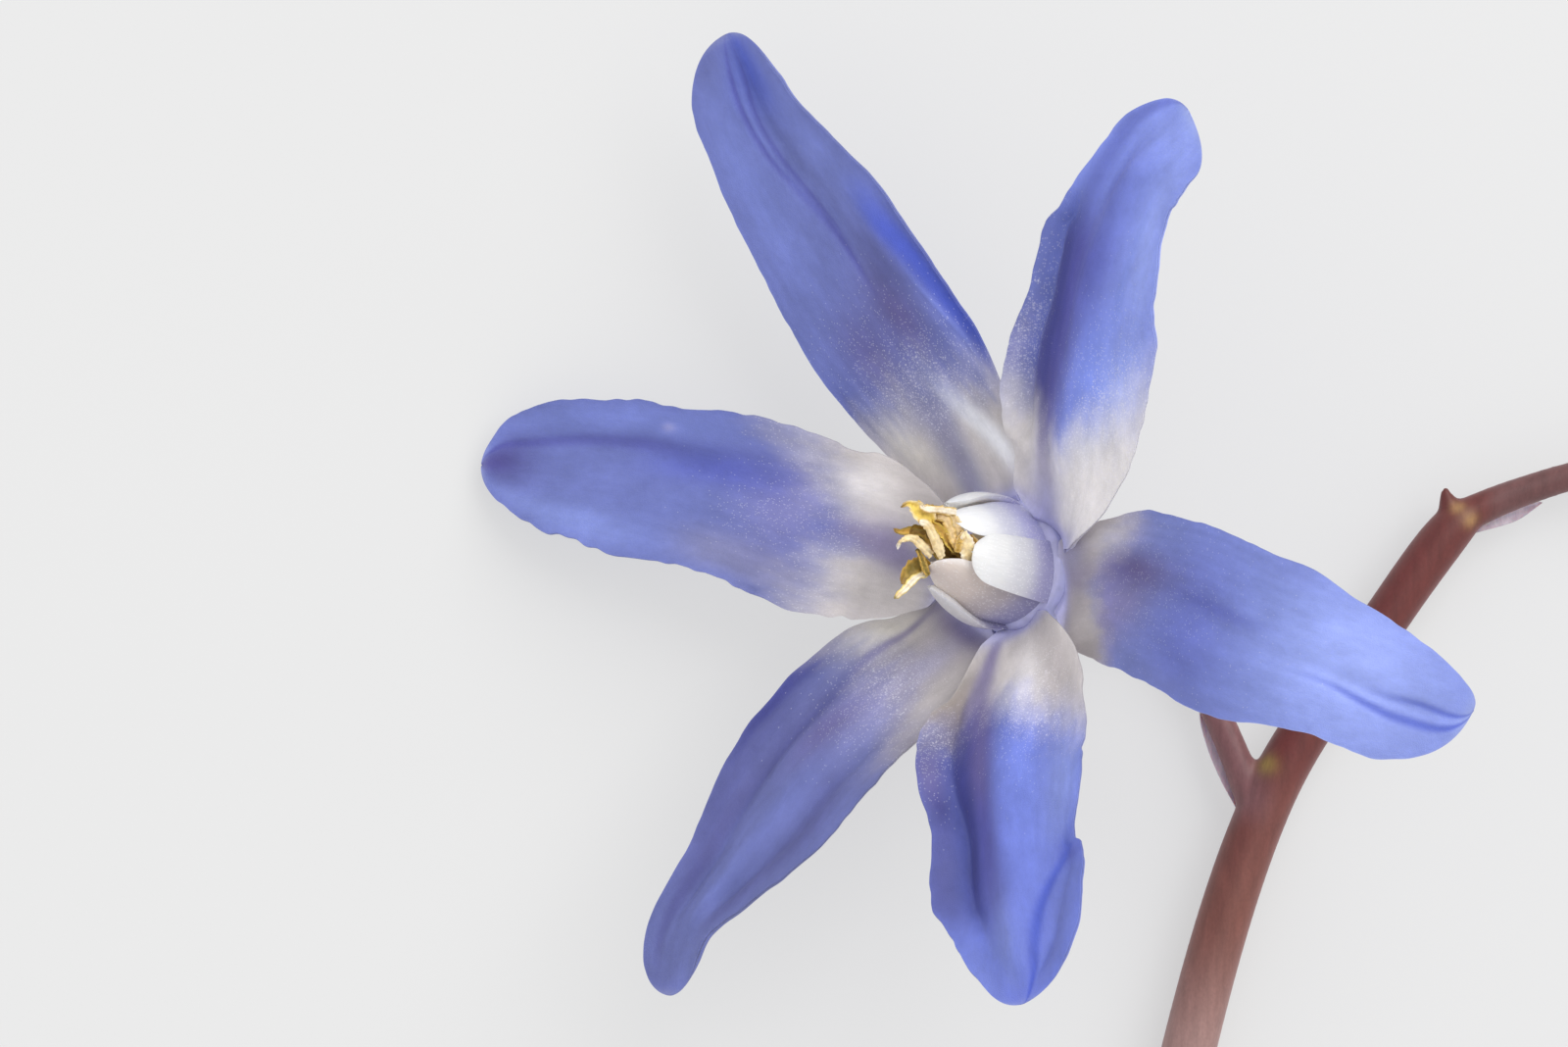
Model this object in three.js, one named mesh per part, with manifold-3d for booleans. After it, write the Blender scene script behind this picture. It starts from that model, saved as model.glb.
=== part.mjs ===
// A glory of the snow: one open flower and one bud on a picked stem that lies on a flat surface.
// Millimetres. +X is right, +Y runs up the sprig, +Z is up from the surface. Z = 0 is the surface.
import * as THREE from "three";
import Module from "manifold-3d";
import { mergeVertices } from "three/addons/utils/BufferGeometryUtils.js";

const wasm = await Module();
wasm.setup();

// The sprig is measured from the middle of the flower's throat, then moved to where it rests.
const THROAT = new THREE.Vector3(-7.22, 20.96, 5.08);
// The flower's axis leans to the left of straight up, and a little towards the sprig's top.
const FLOWER_TILT = THREE.MathUtils.degToRad(39);
const FLOWER_SWING = THREE.MathUtils.degToRad(8);

// A blade is a grid of rows along it and columns across it. Its back is narrower by the bevel on
// each side, and from tipStart on, a share of its length, it rounds off to its tip.
const TEPAL_BLADE = { rows: 22, columns: 8, thickness: 0.66, bevel: 0.12, tipStart: 6 / 7 };
const FILAMENT_BLADE = { rows: 6, columns: 4, thickness: 0.6, bevel: 0.25, tipStart: 0.8 };
const ANTHER_BLADE = { rows: 6, columns: 2, thickness: 0.6, bevel: 0.1, tipStart: 0.9 };
const BRACT_BLADE = { rows: 5, columns: 2, thickness: 0.6, bevel: 0.06, tipStart: 0.85 };

// A tip's end is this share of the full width, and rows crowd towards the tip by this power.
const BLUNT_END = 0.12;
const ROW_CROWDING = 1.35;
const THINNEST_HALF = 0.05;

// Shares of a tepal's length. Its channel deepens between the first two and gives way by half
// between the last two. A fold fades in and out over the other two.
const CHANNEL_DEEPENS = [0.1, 0.4];
const CHANNEL_GIVES_WAY = [0.8, 1];
const CHANNEL_LOSS = 0.5;
const FOLD_FADE_IN = 0.15;
const FOLD_FADE_OUT = 0.12;

// Each tepal is measured at even stations from the throat to its tip, in the flower's own frame:
// out from the axis, up along it and sideways. left and right are half widths, seen by someone who
// stands on the axis and looks out along the tepal. roll turns the blade about its own length.
// A fold is a long crease or ridge: at is its place across, from -1 to 1, at its two ends.
const TEPALS = [
  {
    name: "inner_tepal_left",
    turn: 177,
    out: [2.3, 3.5, 5.0, 6.9, 9.0, 11.1, 13.3, 15.4],
    up: [0.5, 2.0, 3.2, 4.2, 5.0, 5.7, 6.3, 6.75],
    sway: [0.1, -0.1, -0.2, -0.5, -0.6, -0.5, -0.3, 0],
    left: [1.1, 2.1, 2.7, 2.5, 2.3, 2.3, 1.9, 1.3],
    right: [1.1, 2.1, 2.5, 2.55, 2.3, 2.2, 1.9, 1.4],
    roll: 0,
    channel: 0.45,
    folds: [
      { at: [-0.25, -0.5], wide: 0.16, deep: -0.22, from: 0.3, to: 1.05 },
      { at: [0.1, 0.3], wide: 0.3, deep: 0.12, from: 0.2, to: 0.9 },
    ],
  },
  {
    name: "inner_tepal_upper_right",
    turn: 61,
    out: [2.3, 3.8, 5.7, 7.6, 9.6, 11.7, 13.8, 15.9],
    up: [0.5, 1.6, 2.4, 3.1, 3.7, 4.2, 4.6, 5.0],
    sway: [-0.9, -1.0, -0.6, -0.1, 0.4, 0.6, 0.5, 0.1],
    left: [1.0, 2.2, 2.8, 2.45, 2.05, 1.8, 1.2, 1.0],
    right: [0.8, 1.6, 2.4, 2.75, 2.35, 2.0, 1.7, 1.8],
    roll: 0,
    channel: 0.3,
    folds: [
      { at: [0.6, 0.5], wide: 0.2, deep: -0.6, from: 0.1, to: 0.8 },
      { at: [0.05, 0.0], wide: 0.3, deep: 0.35, from: 0.1, to: 0.95 },
    ],
  },
  {
    name: "inner_tepal_bottom",
    turn: 303,
    out: [2.3, 3.8, 5.4, 7.1, 9.0, 10.9, 12.8, 14.5],
    up: [0.5, 1.7, 2.9, 4.0, 4.9, 5.6, 6.4, 7.0],
    sway: [-0.2, 0.1, 0, -0.2, -0.2, -0.2, 0, 0],
    left: [0.9, 1.8, 2.4, 2.55, 2.3, 2.3, 1.8, 1.3],
    right: [1.1, 2.5, 2.9, 2.5, 2.3, 2.1, 1.5, 1.1],
    roll: -15,
    channel: 0.3,
    folds: [
      { at: [-0.5, -0.3], wide: 0.2, deep: -0.6, from: 0.12, to: 0.95 },
      { at: [0.05, 0.05], wide: 0.3, deep: 0.35, from: 0.1, to: 0.98 },
      { at: [0.95, 0.4], wide: 0.25, deep: -0.3, from: 0.62, to: 1.0 },
    ],
  },
  {
    name: "outer_tepal_upper_left",
    turn: 118,
    out: [2.3, 3.9, 5.8, 7.8, 9.9, 12.1, 14.3, 16.6],
    up: [-0.1, 0.7, 2.0, 3.2, 4.4, 5.4, 6.3, 7.1],
    sway: [-0.2, -0.2, -0.2, -0.1, 0, 0.2, 0.3, 0.1],
    left: [1.0, 2.0, 2.6, 2.8, 2.7, 2.5, 2.2, 2.0],
    right: [1.0, 1.8, 2.0, 2.0, 1.95, 1.8, 1.2, 1.2],
    roll: 0,
    channel: 0.25,
    folds: [
      { at: [-0.2, 0.1], wide: 0.14, deep: -0.25, from: 0.45, to: 1.05 },
      { at: [-1.0, -1.0], wide: 0.25, deep: -0.5, from: 0.2, to: 0.7 },
    ],
  },
  {
    name: "outer_tepal_lower_left",
    turn: 249,
    out: [2.3, 3.7, 5.4, 7.1, 9.1, 11.1, 13.2, 14.9],
    up: [-0.1, 0.9, 2.2, 3.5, 4.5, 5.3, 6.0, 6.5],
    sway: [-0.4, -0.5, -0.9, -1.1, -1.0, -0.9, -0.9, 0],
    left: [0.9, 1.4, 2.0, 2.4, 2.15, 1.45, 0.8, 0.8],
    right: [1.0, 1.9, 2.6, 2.3, 2.0, 1.5, 1.2, 1.4],
    roll: 0,
    channel: 0.25,
    folds: [
      { at: [-0.5, -0.4], wide: 0.15, deep: -0.2, from: 0.2, to: 0.9 },
      { at: [0.1, 0.1], wide: 0.2, deep: 0.15, from: 0.2, to: 0.9 },
      { at: [0.55, 0.4], wide: 0.15, deep: -0.2, from: 0.25, to: 0.85 },
    ],
  },
  {
    name: "outer_tepal_right",
    turn: -7,
    out: [2.3, 3.9, 5.8, 8.1, 10.6, 13.1, 15.0, 16.4],
    up: [-0.1, 0.6, 1.4, 2.2, 2.6, 2.2, 0.6, -1.5],
    sway: [-0.2, 0.3, 0.5, 0.6, 0.4, 0.3, 0.1, -0.2],
    left: [0.9, 1.7, 2.3, 2.4, 2.4, 2.1, 1.3, 0.8],
    right: [1.0, 2.1, 2.3, 2.4, 2.4, 2.1, 2.2, 2.3],
    roll: 0,
    channel: -0.2,
    folds: [
      { at: [-0.1, -0.4], wide: 0.12, deep: -0.22, from: 0.65, to: 1.05 },
      { at: [0.1, 0.0], wide: 0.25, deep: -0.18, from: 0.1, to: 0.6 },
    ],
  },
];

// The six white filaments stand on the throat's rim and lean together into a cone. Their outer
// faces are rounded by this much at the edges.
const FILAMENT_ROUNDING = 0.12;
const FILAMENTS = [
  { turn: 0, out: [1.9, 1.95, 1.75, 1.35], up: [0.1, 1.1, 2.1, 3.1], half: [0.6, 0.82, 0.85, 0.65] },
  { turn: 66, out: [1.7, 1.8, 1.75, 1.4], up: [0.1, 1.2, 2.4, 3.6], half: [0.5, 0.62, 0.62, 0.3] },
  { turn: 118, out: [1.7, 1.8, 1.6, 1.2], up: [0.1, 1.2, 2.4, 3.5], half: [0.5, 0.6, 0.5, 0.25] },
  { turn: 182, out: [1.7, 1.7, 1.35, 0.9], up: [0.1, 1.2, 2.4, 3.4], half: [0.5, 0.6, 0.5, 0.25] },
  { turn: 247, out: [1.75, 1.85, 1.65, 1.2], up: [0.1, 1.2, 2.5, 3.5], half: [0.5, 0.6, 0.5, 0.25] },
  { turn: 302, out: [1.7, 1.65, 1.35, 0.9], up: [0.1, 1.2, 2.6, 4.0], half: [0.5, 0.6, 0.55, 0.35] },
];

// The dry anthers are small curled strips. Their points are in the flower's frame, and face is
// the way that the flat of each strip looks.
const ANTHER_FACE = new THREE.Vector3(1, 0, 0.3).normalize();
const ANTHERS = [
  {
    points: [[1.1, -0.15, 3.5], [1.15, 0.1, 3.8], [1.35, 0.45, 4.1]],
    half: [0.25, 0.35, 0.15],
  },
  {
    points: [[0.5, 1.35, 3.9], [0.35, 1.4, 4.5], [0.2, 1.4, 5.1], [0.2, 1.35, 5.6]],
    half: [0.2, 0.2, 0.3, 0.08],
  },
  {
    points: [[0.6, 0.78, 3.8], [0.55, 0.86, 4.15], [0.5, 0.82, 4.5]],
    half: [0.14, 0.16, 0.1],
  },
  {
    points: [[-0.5, 0.2, 3.7], [-0.3, 0.4, 4.4], [-0.1, 0.65, 5.2], [0.0, 0.65, 5.8]],
    half: [0.25, 0.25, 0.18, 0.06],
  },
  {
    points: [[-0.1, -0.8, 3.8], [0.1, -0.8, 4.3], [0.1, -1.0, 4.8], [0.1, -1.4, 5.2]],
    half: [0.25, 0.28, 0.2, 0.06],
  },
  {
    points: [[0.75, -0.35, 4.25], [0.75, -0.1, 4.7], [0.7, 0.0, 5.2], [0.7, -0.25, 5.6]],
    half: [0.16, 0.2, 0.15, 0.06],
  },
];

// The foot that the tepals' bases join into, and the pistil inside it: radius, then height.
const TUBE_PROFILE = [
  [0, -3.7], [0.75, -3.7], [1.2, -3.3], [1.65, -2.7], [2.1, -1.9], [2.4, -1.2],
  [2.15, -1.0], [1.95, -0.2], [1.6, -0.2], [0, -0.2],
];
const TUBE_SIDES = 20;
const PISTIL_PROFILE = [
  [0, 0.1], [0.3, 0.1], [0.5, 0.5], [0.45, 1.1], [0.2, 1.6], [0.16, 2.4], [0.22, 2.6], [0, 2.7],
];
const PISTIL_SIDES = 12;

// The stem's points are from the throat. z falls with distance behind the flower.
const SCAPE = {
  points: [
    [3.4, -58, -4.2], [3.1, -46, -4.1], [3.2, -34, -3.9], [3.9, -24, -3.8],
    [5.55, -14.7, -3.8], [7.8, -7.0, -3.8], [11.4, -1.7, -3.8], [13.9, 1.6, -3.8],
  ],
  radius: [0.88, 0.88, 0.87, 0.86, 0.84, 0.79, 0.69, 0.66],
  steps: 40,
  sides: 10,
};
const PEDICEL = {
  points: [[2.65, -0.37, -3.3], [4.3, -1.4, -4.0], [5.8, -3.3, -4.1], [6.75, -5.2, -3.9], [7.6, -7.4, -3.8]],
  radius: [0.66, 0.5, 0.45, 0.46, 0.5],
  steps: 16,
  sides: 10,
};
const BUD_PEDICEL = {
  points: [[13.7, 1.4, -3.8], [15.6, 2.2, -3.8], [18.0, 2.9, -3.7], [20.6, 3.1, -3.5], [22.8, 2.7, -3.3]],
  radius: [0.5, 0.45, 0.43, 0.44, 0.55],
  steps: 16,
  sides: 10,
};
const THORN = {
  points: [[13.7, 1.3, -3.8], [13.5, 1.9, -3.7], [13.35, 2.45, -3.6]],
  radius: [0.5, 0.32, 0.06],
  steps: 4,
  sides: 8,
};

// The closed bud at the end of the second pedicel: its long axis and its width along it.
const BUD = {
  points: [[23.2, 2.6, -3.3], [25.6, 1.9, -3.24], [28.0, 0.9, -3.2], [30.4, -0.4, -3.2]],
  radius: [0.75, 1.7, 1.75, 0.35],
  steps: 12,
  sides: 12,
};

// The dry lilac scales beside the two forks of the stem.
const BRACTS = [
  {
    name: "bract_lower",
    points: [[6.65, -7.0, -4.2], [6.1, -6.3, -4.3], [5.85, -5.5, -4.35]],
    half: [0.15, 0.25, 0.08],
  },
  {
    name: "bract_upper",
    points: [[14.7, 0.95, -4.2], [15.5, 1.35, -4.3], [16.3, 1.75, -4.3]],
    half: [0.15, 0.28, 0.08],
  },
];

const COLOURS = {
  inner: { color: "#7d8de0", roughness: 0.55, metalness: 0 },
  outer: { color: "#6673bd", roughness: 0.55, metalness: 0 },
  tube: { color: "#8f8fc8", roughness: 0.55, metalness: 0 },
  filament: { color: "#eeecea", roughness: 0.5, metalness: 0 },
  anther: { color: "#d9ae63", roughness: 0.75, metalness: 0 },
  stem: { color: "#6e4740", roughness: 0.6, metalness: 0 },
  bract: { color: "#b9a6c6", roughness: 0.6, metalness: 0 },
  pistil: { color: "#c9cfa4", roughness: 0.6, metalness: 0 },
};

const AXIS = new THREE.Vector3(0, 0, 1);
const DIRECTION_STEP = 0.01;
const MERGE_DISTANCE = 1e-4;

// The flower's frame: its z is the flower's axis, and its x lies to the right and upwards.
function flowerFrame() {
  const lean = Math.sin(FLOWER_TILT);
  const rise = Math.cos(FLOWER_TILT);
  const z = new THREE.Vector3(-lean * Math.cos(FLOWER_SWING), lean * Math.sin(FLOWER_SWING), rise);
  const x = new THREE.Vector3(rise * Math.cos(FLOWER_SWING), -rise * Math.sin(FLOWER_SWING), lean);
  const y = new THREE.Vector3().crossVectors(z, x);
  return new THREE.Matrix4().makeBasis(x, y, z).setPosition(THROAT);
}

const FLOWER = flowerFrame();

// A smooth value at u, from 0 to 1, through a list of even stations.
function along(list, u) {
  const last = list.length - 1;
  const place = THREE.MathUtils.clamp(u, 0, 1) * last;
  const i = Math.min(Math.floor(place), last - 1);
  const before = i > 0 ? list[i - 1] : 2 * list[0] - list[1];
  const after = i < last - 1 ? list[i + 2] : 2 * list[last] - list[last - 1];
  const [a, b, f] = [list[i], list[i + 1], place - i];
  return 0.5 * (2 * a + (b - before) * f + (2 * before - 5 * a + 4 * b - after) * f * f
    + (3 * a - before - 3 * b + after) * f * f * f);
}

function pointAlong(points, u) {
  return new THREE.Vector3(...[0, 1, 2].map((k) => along(points.map((p) => p[k]), u)));
}

function directionAlong(points, u) {
  const ahead = pointAlong(points, Math.min(u + DIRECTION_STEP, 1));
  return ahead.sub(pointAlong(points, Math.max(u - DIRECTION_STEP, 0))).normalize();
}

function smooth(low, high, value) {
  return THREE.MathUtils.smoothstep(value, low, high);
}

function geometryFrom(points, triangles) {
  const geometry = new THREE.BufferGeometry().setFromPoints(points);
  geometry.setIndex(triangles);
  return geometry;
}

// A closed blade. Its front face is a grid along the spine, its back face is the same grid set back
// by the thickness and a little narrower, and a rim joins the two.
function blade({ rows, columns, thickness, bevel, tipStart, points, face, left, right, relief, roll }) {
  const width = columns + 1;
  const grid = [];
  for (const back of [false, true]) {
    for (let i = 0; i <= rows; i++) {
      const u = 1 - (1 - i / rows) ** ROW_CROWDING;
      const tangent = directionAlong(points, u);
      const side = new THREE.Vector3().crossVectors(face, tangent).normalize();
      side.applyAxisAngle(tangent, roll);
      const normal = new THREE.Vector3().crossVectors(tangent, side);
      const tip = Math.max((u - tipStart) / (1 - tipStart), 0);
      const round = BLUNT_END + (1 - BLUNT_END) * Math.sqrt(1 - tip * tip);
      for (let j = 0; j <= columns; j++) {
        const v = (2 * j) / columns - 1;
        const half = Math.max(along(v > 0 ? left : right, u) * round - (back ? bevel : 0), THINNEST_HALF);
        const lift = relief(u, v) - (back ? thickness : 0);
        grid.push(pointAlong(points, u).addScaledVector(side, v * half).addScaledVector(normal, lift));
      }
    }
  }
  const at = (back, i, j) => (back * (rows + 1) + i) * width + j;
  const triangles = [];
  for (let i = 0; i < rows; i++) {
    for (let j = 0; j < columns; j++) {
      triangles.push(at(0, i, j), at(0, i + 1, j), at(0, i + 1, j + 1));
      triangles.push(at(0, i, j), at(0, i + 1, j + 1), at(0, i, j + 1));
      triangles.push(at(1, i, j), at(1, i + 1, j + 1), at(1, i + 1, j));
      triangles.push(at(1, i, j), at(1, i, j + 1), at(1, i + 1, j + 1));
    }
    triangles.push(at(0, i, 0), at(1, i, 0), at(1, i + 1, 0), at(0, i, 0), at(1, i + 1, 0), at(0, i + 1, 0));
    const j = columns;
    triangles.push(at(0, i, j), at(0, i + 1, j), at(1, i + 1, j), at(0, i, j), at(1, i + 1, j), at(1, i, j));
  }
  for (let j = 0; j < columns; j++) {
    triangles.push(at(0, 0, j), at(0, 0, j + 1), at(1, 0, j + 1), at(0, 0, j), at(1, 0, j + 1), at(1, 0, j));
    const i = rows;
    triangles.push(at(0, i, j), at(1, i, j), at(1, i, j + 1), at(0, i, j), at(1, i, j + 1), at(0, i, j + 1));
  }
  return geometryFrom(grid, triangles);
}

// A closed round body along a path, whose radius follows a list.
function roundBody({ points, radius, steps, sides }) {
  const rings = [];
  let across = new THREE.Vector3(0, 0, 1);
  for (let i = 0; i <= steps; i++) {
    const u = i / steps;
    const tangent = directionAlong(points, u);
    across = across.addScaledVector(tangent, -across.dot(tangent)).normalize();
    const other = new THREE.Vector3().crossVectors(tangent, across);
    const centre = pointAlong(points, u);
    for (let k = 0; k < sides; k++) {
      const angle = (2 * Math.PI * k) / sides;
      const size = along(radius, u);
      rings.push(centre.clone().addScaledVector(across, Math.cos(angle) * size)
        .addScaledVector(other, Math.sin(angle) * size));
    }
  }
  const first = rings.push(pointAlong(points, 0)) - 1;
  const last = rings.push(pointAlong(points, 1)) - 1;
  const triangles = [];
  for (let k = 0; k < sides; k++) {
    const next = (k + 1) % sides;
    for (let i = 0; i < steps; i++) {
      const [a, b] = [i * sides, (i + 1) * sides];
      triangles.push(a + k, a + next, b + next, a + k, b + next, b + k);
    }
    triangles.push(first, next, k, last, steps * sides + k, steps * sides + next);
  }
  return geometryFrom(rings, triangles);
}

function toSolid(geometry) {
  const bare = geometry.clone();
  for (const name of ["normal", "uv"]) bare.deleteAttribute(name);
  const merged = mergeVertices(bare, MERGE_DISTANCE);
  const mesh = new wasm.Mesh({
    numProp: 3,
    vertProperties: new Float32Array(merged.attributes.position.array),
    triVerts: new Uint32Array(merged.index.array),
  });
  return new wasm.Manifold(mesh);
}

function fuse(geometries) {
  const solid = geometries.map(toSolid).reduce((whole, piece) => whole.add(piece));
  const mesh = solid.getMesh();
  const geometry = new THREE.BufferGeometry();
  geometry.setAttribute("position", new THREE.BufferAttribute(mesh.vertProperties, 3));
  geometry.setIndex(new THREE.BufferAttribute(mesh.triVerts, 1));
  return geometry;
}

function addMesh(parent, name, geometry, colour) {
  geometry.computeVertexNormals();
  const mesh = new THREE.Mesh(geometry, new THREE.MeshStandardMaterial(colour));
  mesh.name = name;
  parent.add(mesh);
}

// A list of points in the flower's frame, from lists measured out, up and sideways of a turned line.
function turned({ turn, out, up, sway }) {
  const angle = THREE.MathUtils.degToRad(turn);
  return out.map((r, i) => {
    const s = sway ? sway[i] : 0;
    return [r * Math.cos(angle) - s * Math.sin(angle), r * Math.sin(angle) + s * Math.cos(angle), up[i]];
  });
}

function tepalRelief({ channel, folds }) {
  return (u, v) => {
    const depth = smooth(...CHANNEL_DEEPENS, u) * (1 - CHANNEL_LOSS * smooth(...CHANNEL_GIVES_WAY, u));
    let lift = channel * v * v * depth;
    for (const { at, wide, deep, from, to } of folds) {
      const share = THREE.MathUtils.clamp((u - from) / (to - from), 0, 1);
      const centre = THREE.MathUtils.lerp(at[0], at[1], share);
      const span = smooth(from, from + FOLD_FADE_IN, u) * (1 - smooth(to - FOLD_FADE_OUT, to, u));
      lift += deep * span * Math.exp(-(((v - centre) / wide) ** 2));
    }
    return lift;
  };
}

function addTepals(flower) {
  for (const tepal of TEPALS) {
    const shape = blade({
      ...TEPAL_BLADE,
      points: turned(tepal),
      face: AXIS,
      left: tepal.left,
      right: tepal.right,
      relief: tepalRelief(tepal),
      roll: THREE.MathUtils.degToRad(tepal.roll),
    });
    const colour = tepal.name.startsWith("inner") ? COLOURS.inner : COLOURS.outer;
    addMesh(flower, tepal.name, shape, colour);
  }
}

// A blade that is alike on both sides of its middle line.
function evenBlade(sort, points, half, face, relief) {
  return blade({ ...sort, points, face, left: half, right: half, relief, roll: 0 });
}

function addFilaments(flower) {
  const rounded = (u, v) => -FILAMENT_ROUNDING * v * v;
  FILAMENTS.forEach((filament, i) => {
    const angle = THREE.MathUtils.degToRad(filament.turn);
    const outwards = new THREE.Vector3(Math.cos(angle), Math.sin(angle), 0);
    const shape = evenBlade(FILAMENT_BLADE, turned(filament), filament.half, outwards, rounded);
    addMesh(flower, `filament_${i + 1}`, shape, COLOURS.filament);
  });
}

function addAnthers(flower) {
  ANTHERS.forEach(({ points, half }, i) => {
    const shape = evenBlade(ANTHER_BLADE, points, half, ANTHER_FACE, () => 0);
    addMesh(flower, `anther_${i + 1}`, shape, COLOURS.anther);
  });
}

// A body turned on the flower's axis.
function turnedBody(profile, sides) {
  const points = profile.map(([radius, height]) => new THREE.Vector2(radius, height));
  return new THREE.LatheGeometry(points, sides).rotateX(Math.PI / 2);
}

function addStem(sprig) {
  const pieces = [SCAPE, PEDICEL, BUD_PEDICEL, THORN].map(roundBody);
  addMesh(sprig, "scape", fuse(pieces), COLOURS.stem);
}

function addBracts(sprig) {
  for (const { name, points, half } of BRACTS) {
    const shape = evenBlade(BRACT_BLADE, points, half, AXIS, () => 0);
    addMesh(sprig, name, shape, COLOURS.bract);
  }
}

const flower = new THREE.Group();
flower.applyMatrix4(FLOWER);
addTepals(flower);
addFilaments(flower);
addAnthers(flower);
addMesh(flower, "perianth_tube", turnedBody(TUBE_PROFILE, TUBE_SIDES), COLOURS.tube);
addMesh(flower, "pistil", turnedBody(PISTIL_PROFILE, PISTIL_SIDES), COLOURS.pistil);

const sprig = new THREE.Group();
sprig.position.copy(THROAT);
addStem(sprig);
addBracts(sprig);
addMesh(sprig, "flower_bud", roundBody(BUD), COLOURS.outer);

const group = new THREE.Group();
group.add(flower, sprig);
export default group;
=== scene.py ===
"""A glory of the snow that lies on a pale surface: petals, stamens, stem and bud round the fixed frame.

Sizes are in millimetres until a mesh is made, and the meshes are in metres.
"""
import math

import bpy
import numpy as np
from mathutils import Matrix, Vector


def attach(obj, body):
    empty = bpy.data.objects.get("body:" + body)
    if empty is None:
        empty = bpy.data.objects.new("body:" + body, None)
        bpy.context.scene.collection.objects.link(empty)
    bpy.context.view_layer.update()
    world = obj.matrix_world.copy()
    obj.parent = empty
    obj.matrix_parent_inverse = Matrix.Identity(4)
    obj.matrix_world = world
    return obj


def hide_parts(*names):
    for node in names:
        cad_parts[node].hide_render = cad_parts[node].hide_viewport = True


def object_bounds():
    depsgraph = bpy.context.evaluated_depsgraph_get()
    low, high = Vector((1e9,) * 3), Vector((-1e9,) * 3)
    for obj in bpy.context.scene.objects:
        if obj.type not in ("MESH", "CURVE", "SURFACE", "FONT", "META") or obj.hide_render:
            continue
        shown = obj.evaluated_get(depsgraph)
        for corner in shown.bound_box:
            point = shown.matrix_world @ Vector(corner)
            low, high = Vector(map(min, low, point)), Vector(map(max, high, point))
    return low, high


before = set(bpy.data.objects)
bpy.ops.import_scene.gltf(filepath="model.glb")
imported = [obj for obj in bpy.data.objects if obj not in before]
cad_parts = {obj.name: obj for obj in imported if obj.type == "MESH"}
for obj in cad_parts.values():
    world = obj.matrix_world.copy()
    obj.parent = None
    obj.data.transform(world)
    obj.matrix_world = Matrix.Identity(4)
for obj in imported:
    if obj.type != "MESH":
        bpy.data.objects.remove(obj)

CAD_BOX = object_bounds()
MM = 0.001
IMAGE_WIDTH = 1600
SEED = 7

# The sprig is measured from the middle of the flower's throat. The flower's axis leans to the left
# of straight up, and a little towards the sprig's top.
THROAT = np.array([-7.22, 20.96, 5.08])
TILT = math.radians(39)
SWING = math.radians(8)
AXIS = np.array([-math.sin(TILT) * math.cos(SWING), math.sin(TILT) * math.sin(SWING), math.cos(TILT)])
RIGHT = np.array([math.cos(TILT) * math.cos(SWING), -math.cos(TILT) * math.sin(SWING), math.sin(TILT)])
FLOWER = np.array([RIGHT, np.cross(AXIS, RIGHT), AXIS])

# The camera looks straight down, off to the left of the throat. Its near and far limits are metres.
CAMERA_AWAY = 230.0
CAMERA_OFFSET = (-6.76, 1.29)
CAMERA_LIMITS = (0.01, 10)
PIXELS_PER_MM = 34
SENSOR = 36.0

# The pale surface glows a little, like a light table, which keeps shadows faint. A white world and
# one soft square light above give the rest of the light.
FLOOR_HALF = 600.0
FLOOR_ALBEDO = 0.26
FLOOR_GLOW = 0.5
WORLD_STRENGTH = 0.92
KEY_AT = (190, 230, 300)
KEY_TOWARD = (0, 10, 5)
KEY_SIZE = 360
KEY_WATTS = 1.15

# A petal is a grid of rows along it and columns across it. The rows crowd towards its tip and the
# columns towards its edges.
PETAL_ROWS = 190
PETAL_COLUMNS = 80
ROW_CROWDING = 1.6
COLUMN_CROWDING = 0.86
TIP_START = 6 / 7
BLUNT_END = 0.03
THINNEST_HALF = 0.03
PETAL_THICKNESS = 0.32
PETAL_EDGE = 0.12
PETAL_EDGE_FLATNESS = 6
TIP_THINNING = 0.95
TIP_THINS = (0.92, 1)

# Veins, and the half width from which a petal's veins and engraved bands have their full depth.
VEINS = 11
VEIN_HEIGHT = 0.006
VEIN_SPREAD = 0.25
VEIN_WANDER = 0.06
VEIN_BENDS = 9
VEINS_BEGIN = (0.1, 0.3)
VEINS_END = (0.5, 0.85)
FULL_RELIEF_HALF = 1.2
TIP_FLATNESS = 0.85
TIP_FLATTENS = (0.9, 1)

# Below its first station a petal goes on as a claw, down into the tube.
CLAW_ROWS = 14
CLAW_START = -0.12
CLAW_END = (1.85, -0.35)
CLAW_BEND = 0.55
CLAW_HALF = 0.75
CLAW_NARROWS = -0.06
CLAW_HOLLOW = 0.3
CLAW_HOLLOW_ENDS = (0, 0.15)

# Shares of a petal's length over which its channel deepens and gives way, and folds and bands fade.
# A band's bends are rounded by taking the mean of its path at a few shifts along it.
CHANNEL_DEEPENS = (0.1, 0.4)
CHANNEL_GIVES_WAY = (0.8, 1.0)
CHANNEL_LOSS = 0.5
FOLD_FADE_IN = 0.15
FOLD_FADE_OUT = 0.12
CREASE_BOTTOM = 0.04
BAND_FADE = 0.08
BAND_FLATNESS = 2.6
BEND_ROUNDING = (-0.04, -0.02, 0, 0.02, 0.04)
# How many painted glints of highlight line the border between a petal's foot and its blade.
GLINTS_AT_FOOT_BORDER = 0.2

# Random waves and blotches. A pair of cells is a coarse noise's and then a finer one's, and each cell
# is a blotch's size across and along. A noise takes a petal's edges to lie far from its middle, so
# that the two edges' waves differ.
LATTICE = 64
FINER_SHARE = 0.6
EDGE_WAVES = ((3, 0.7), (3, 0.35))
PETAL_EDGES_APART = 9
RUFFLE_BEGINS = (0.05, 0.2)

# The foot gives way to the blade between two shares of its reach, along a ragged border.
FOOT_BORDER = (0.55, 1.42)
FOOT_RAGGEDNESS = 0.025
FOOT_BLOTCHES = ((0.5, 1.2), (0.15, 0.4))

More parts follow.
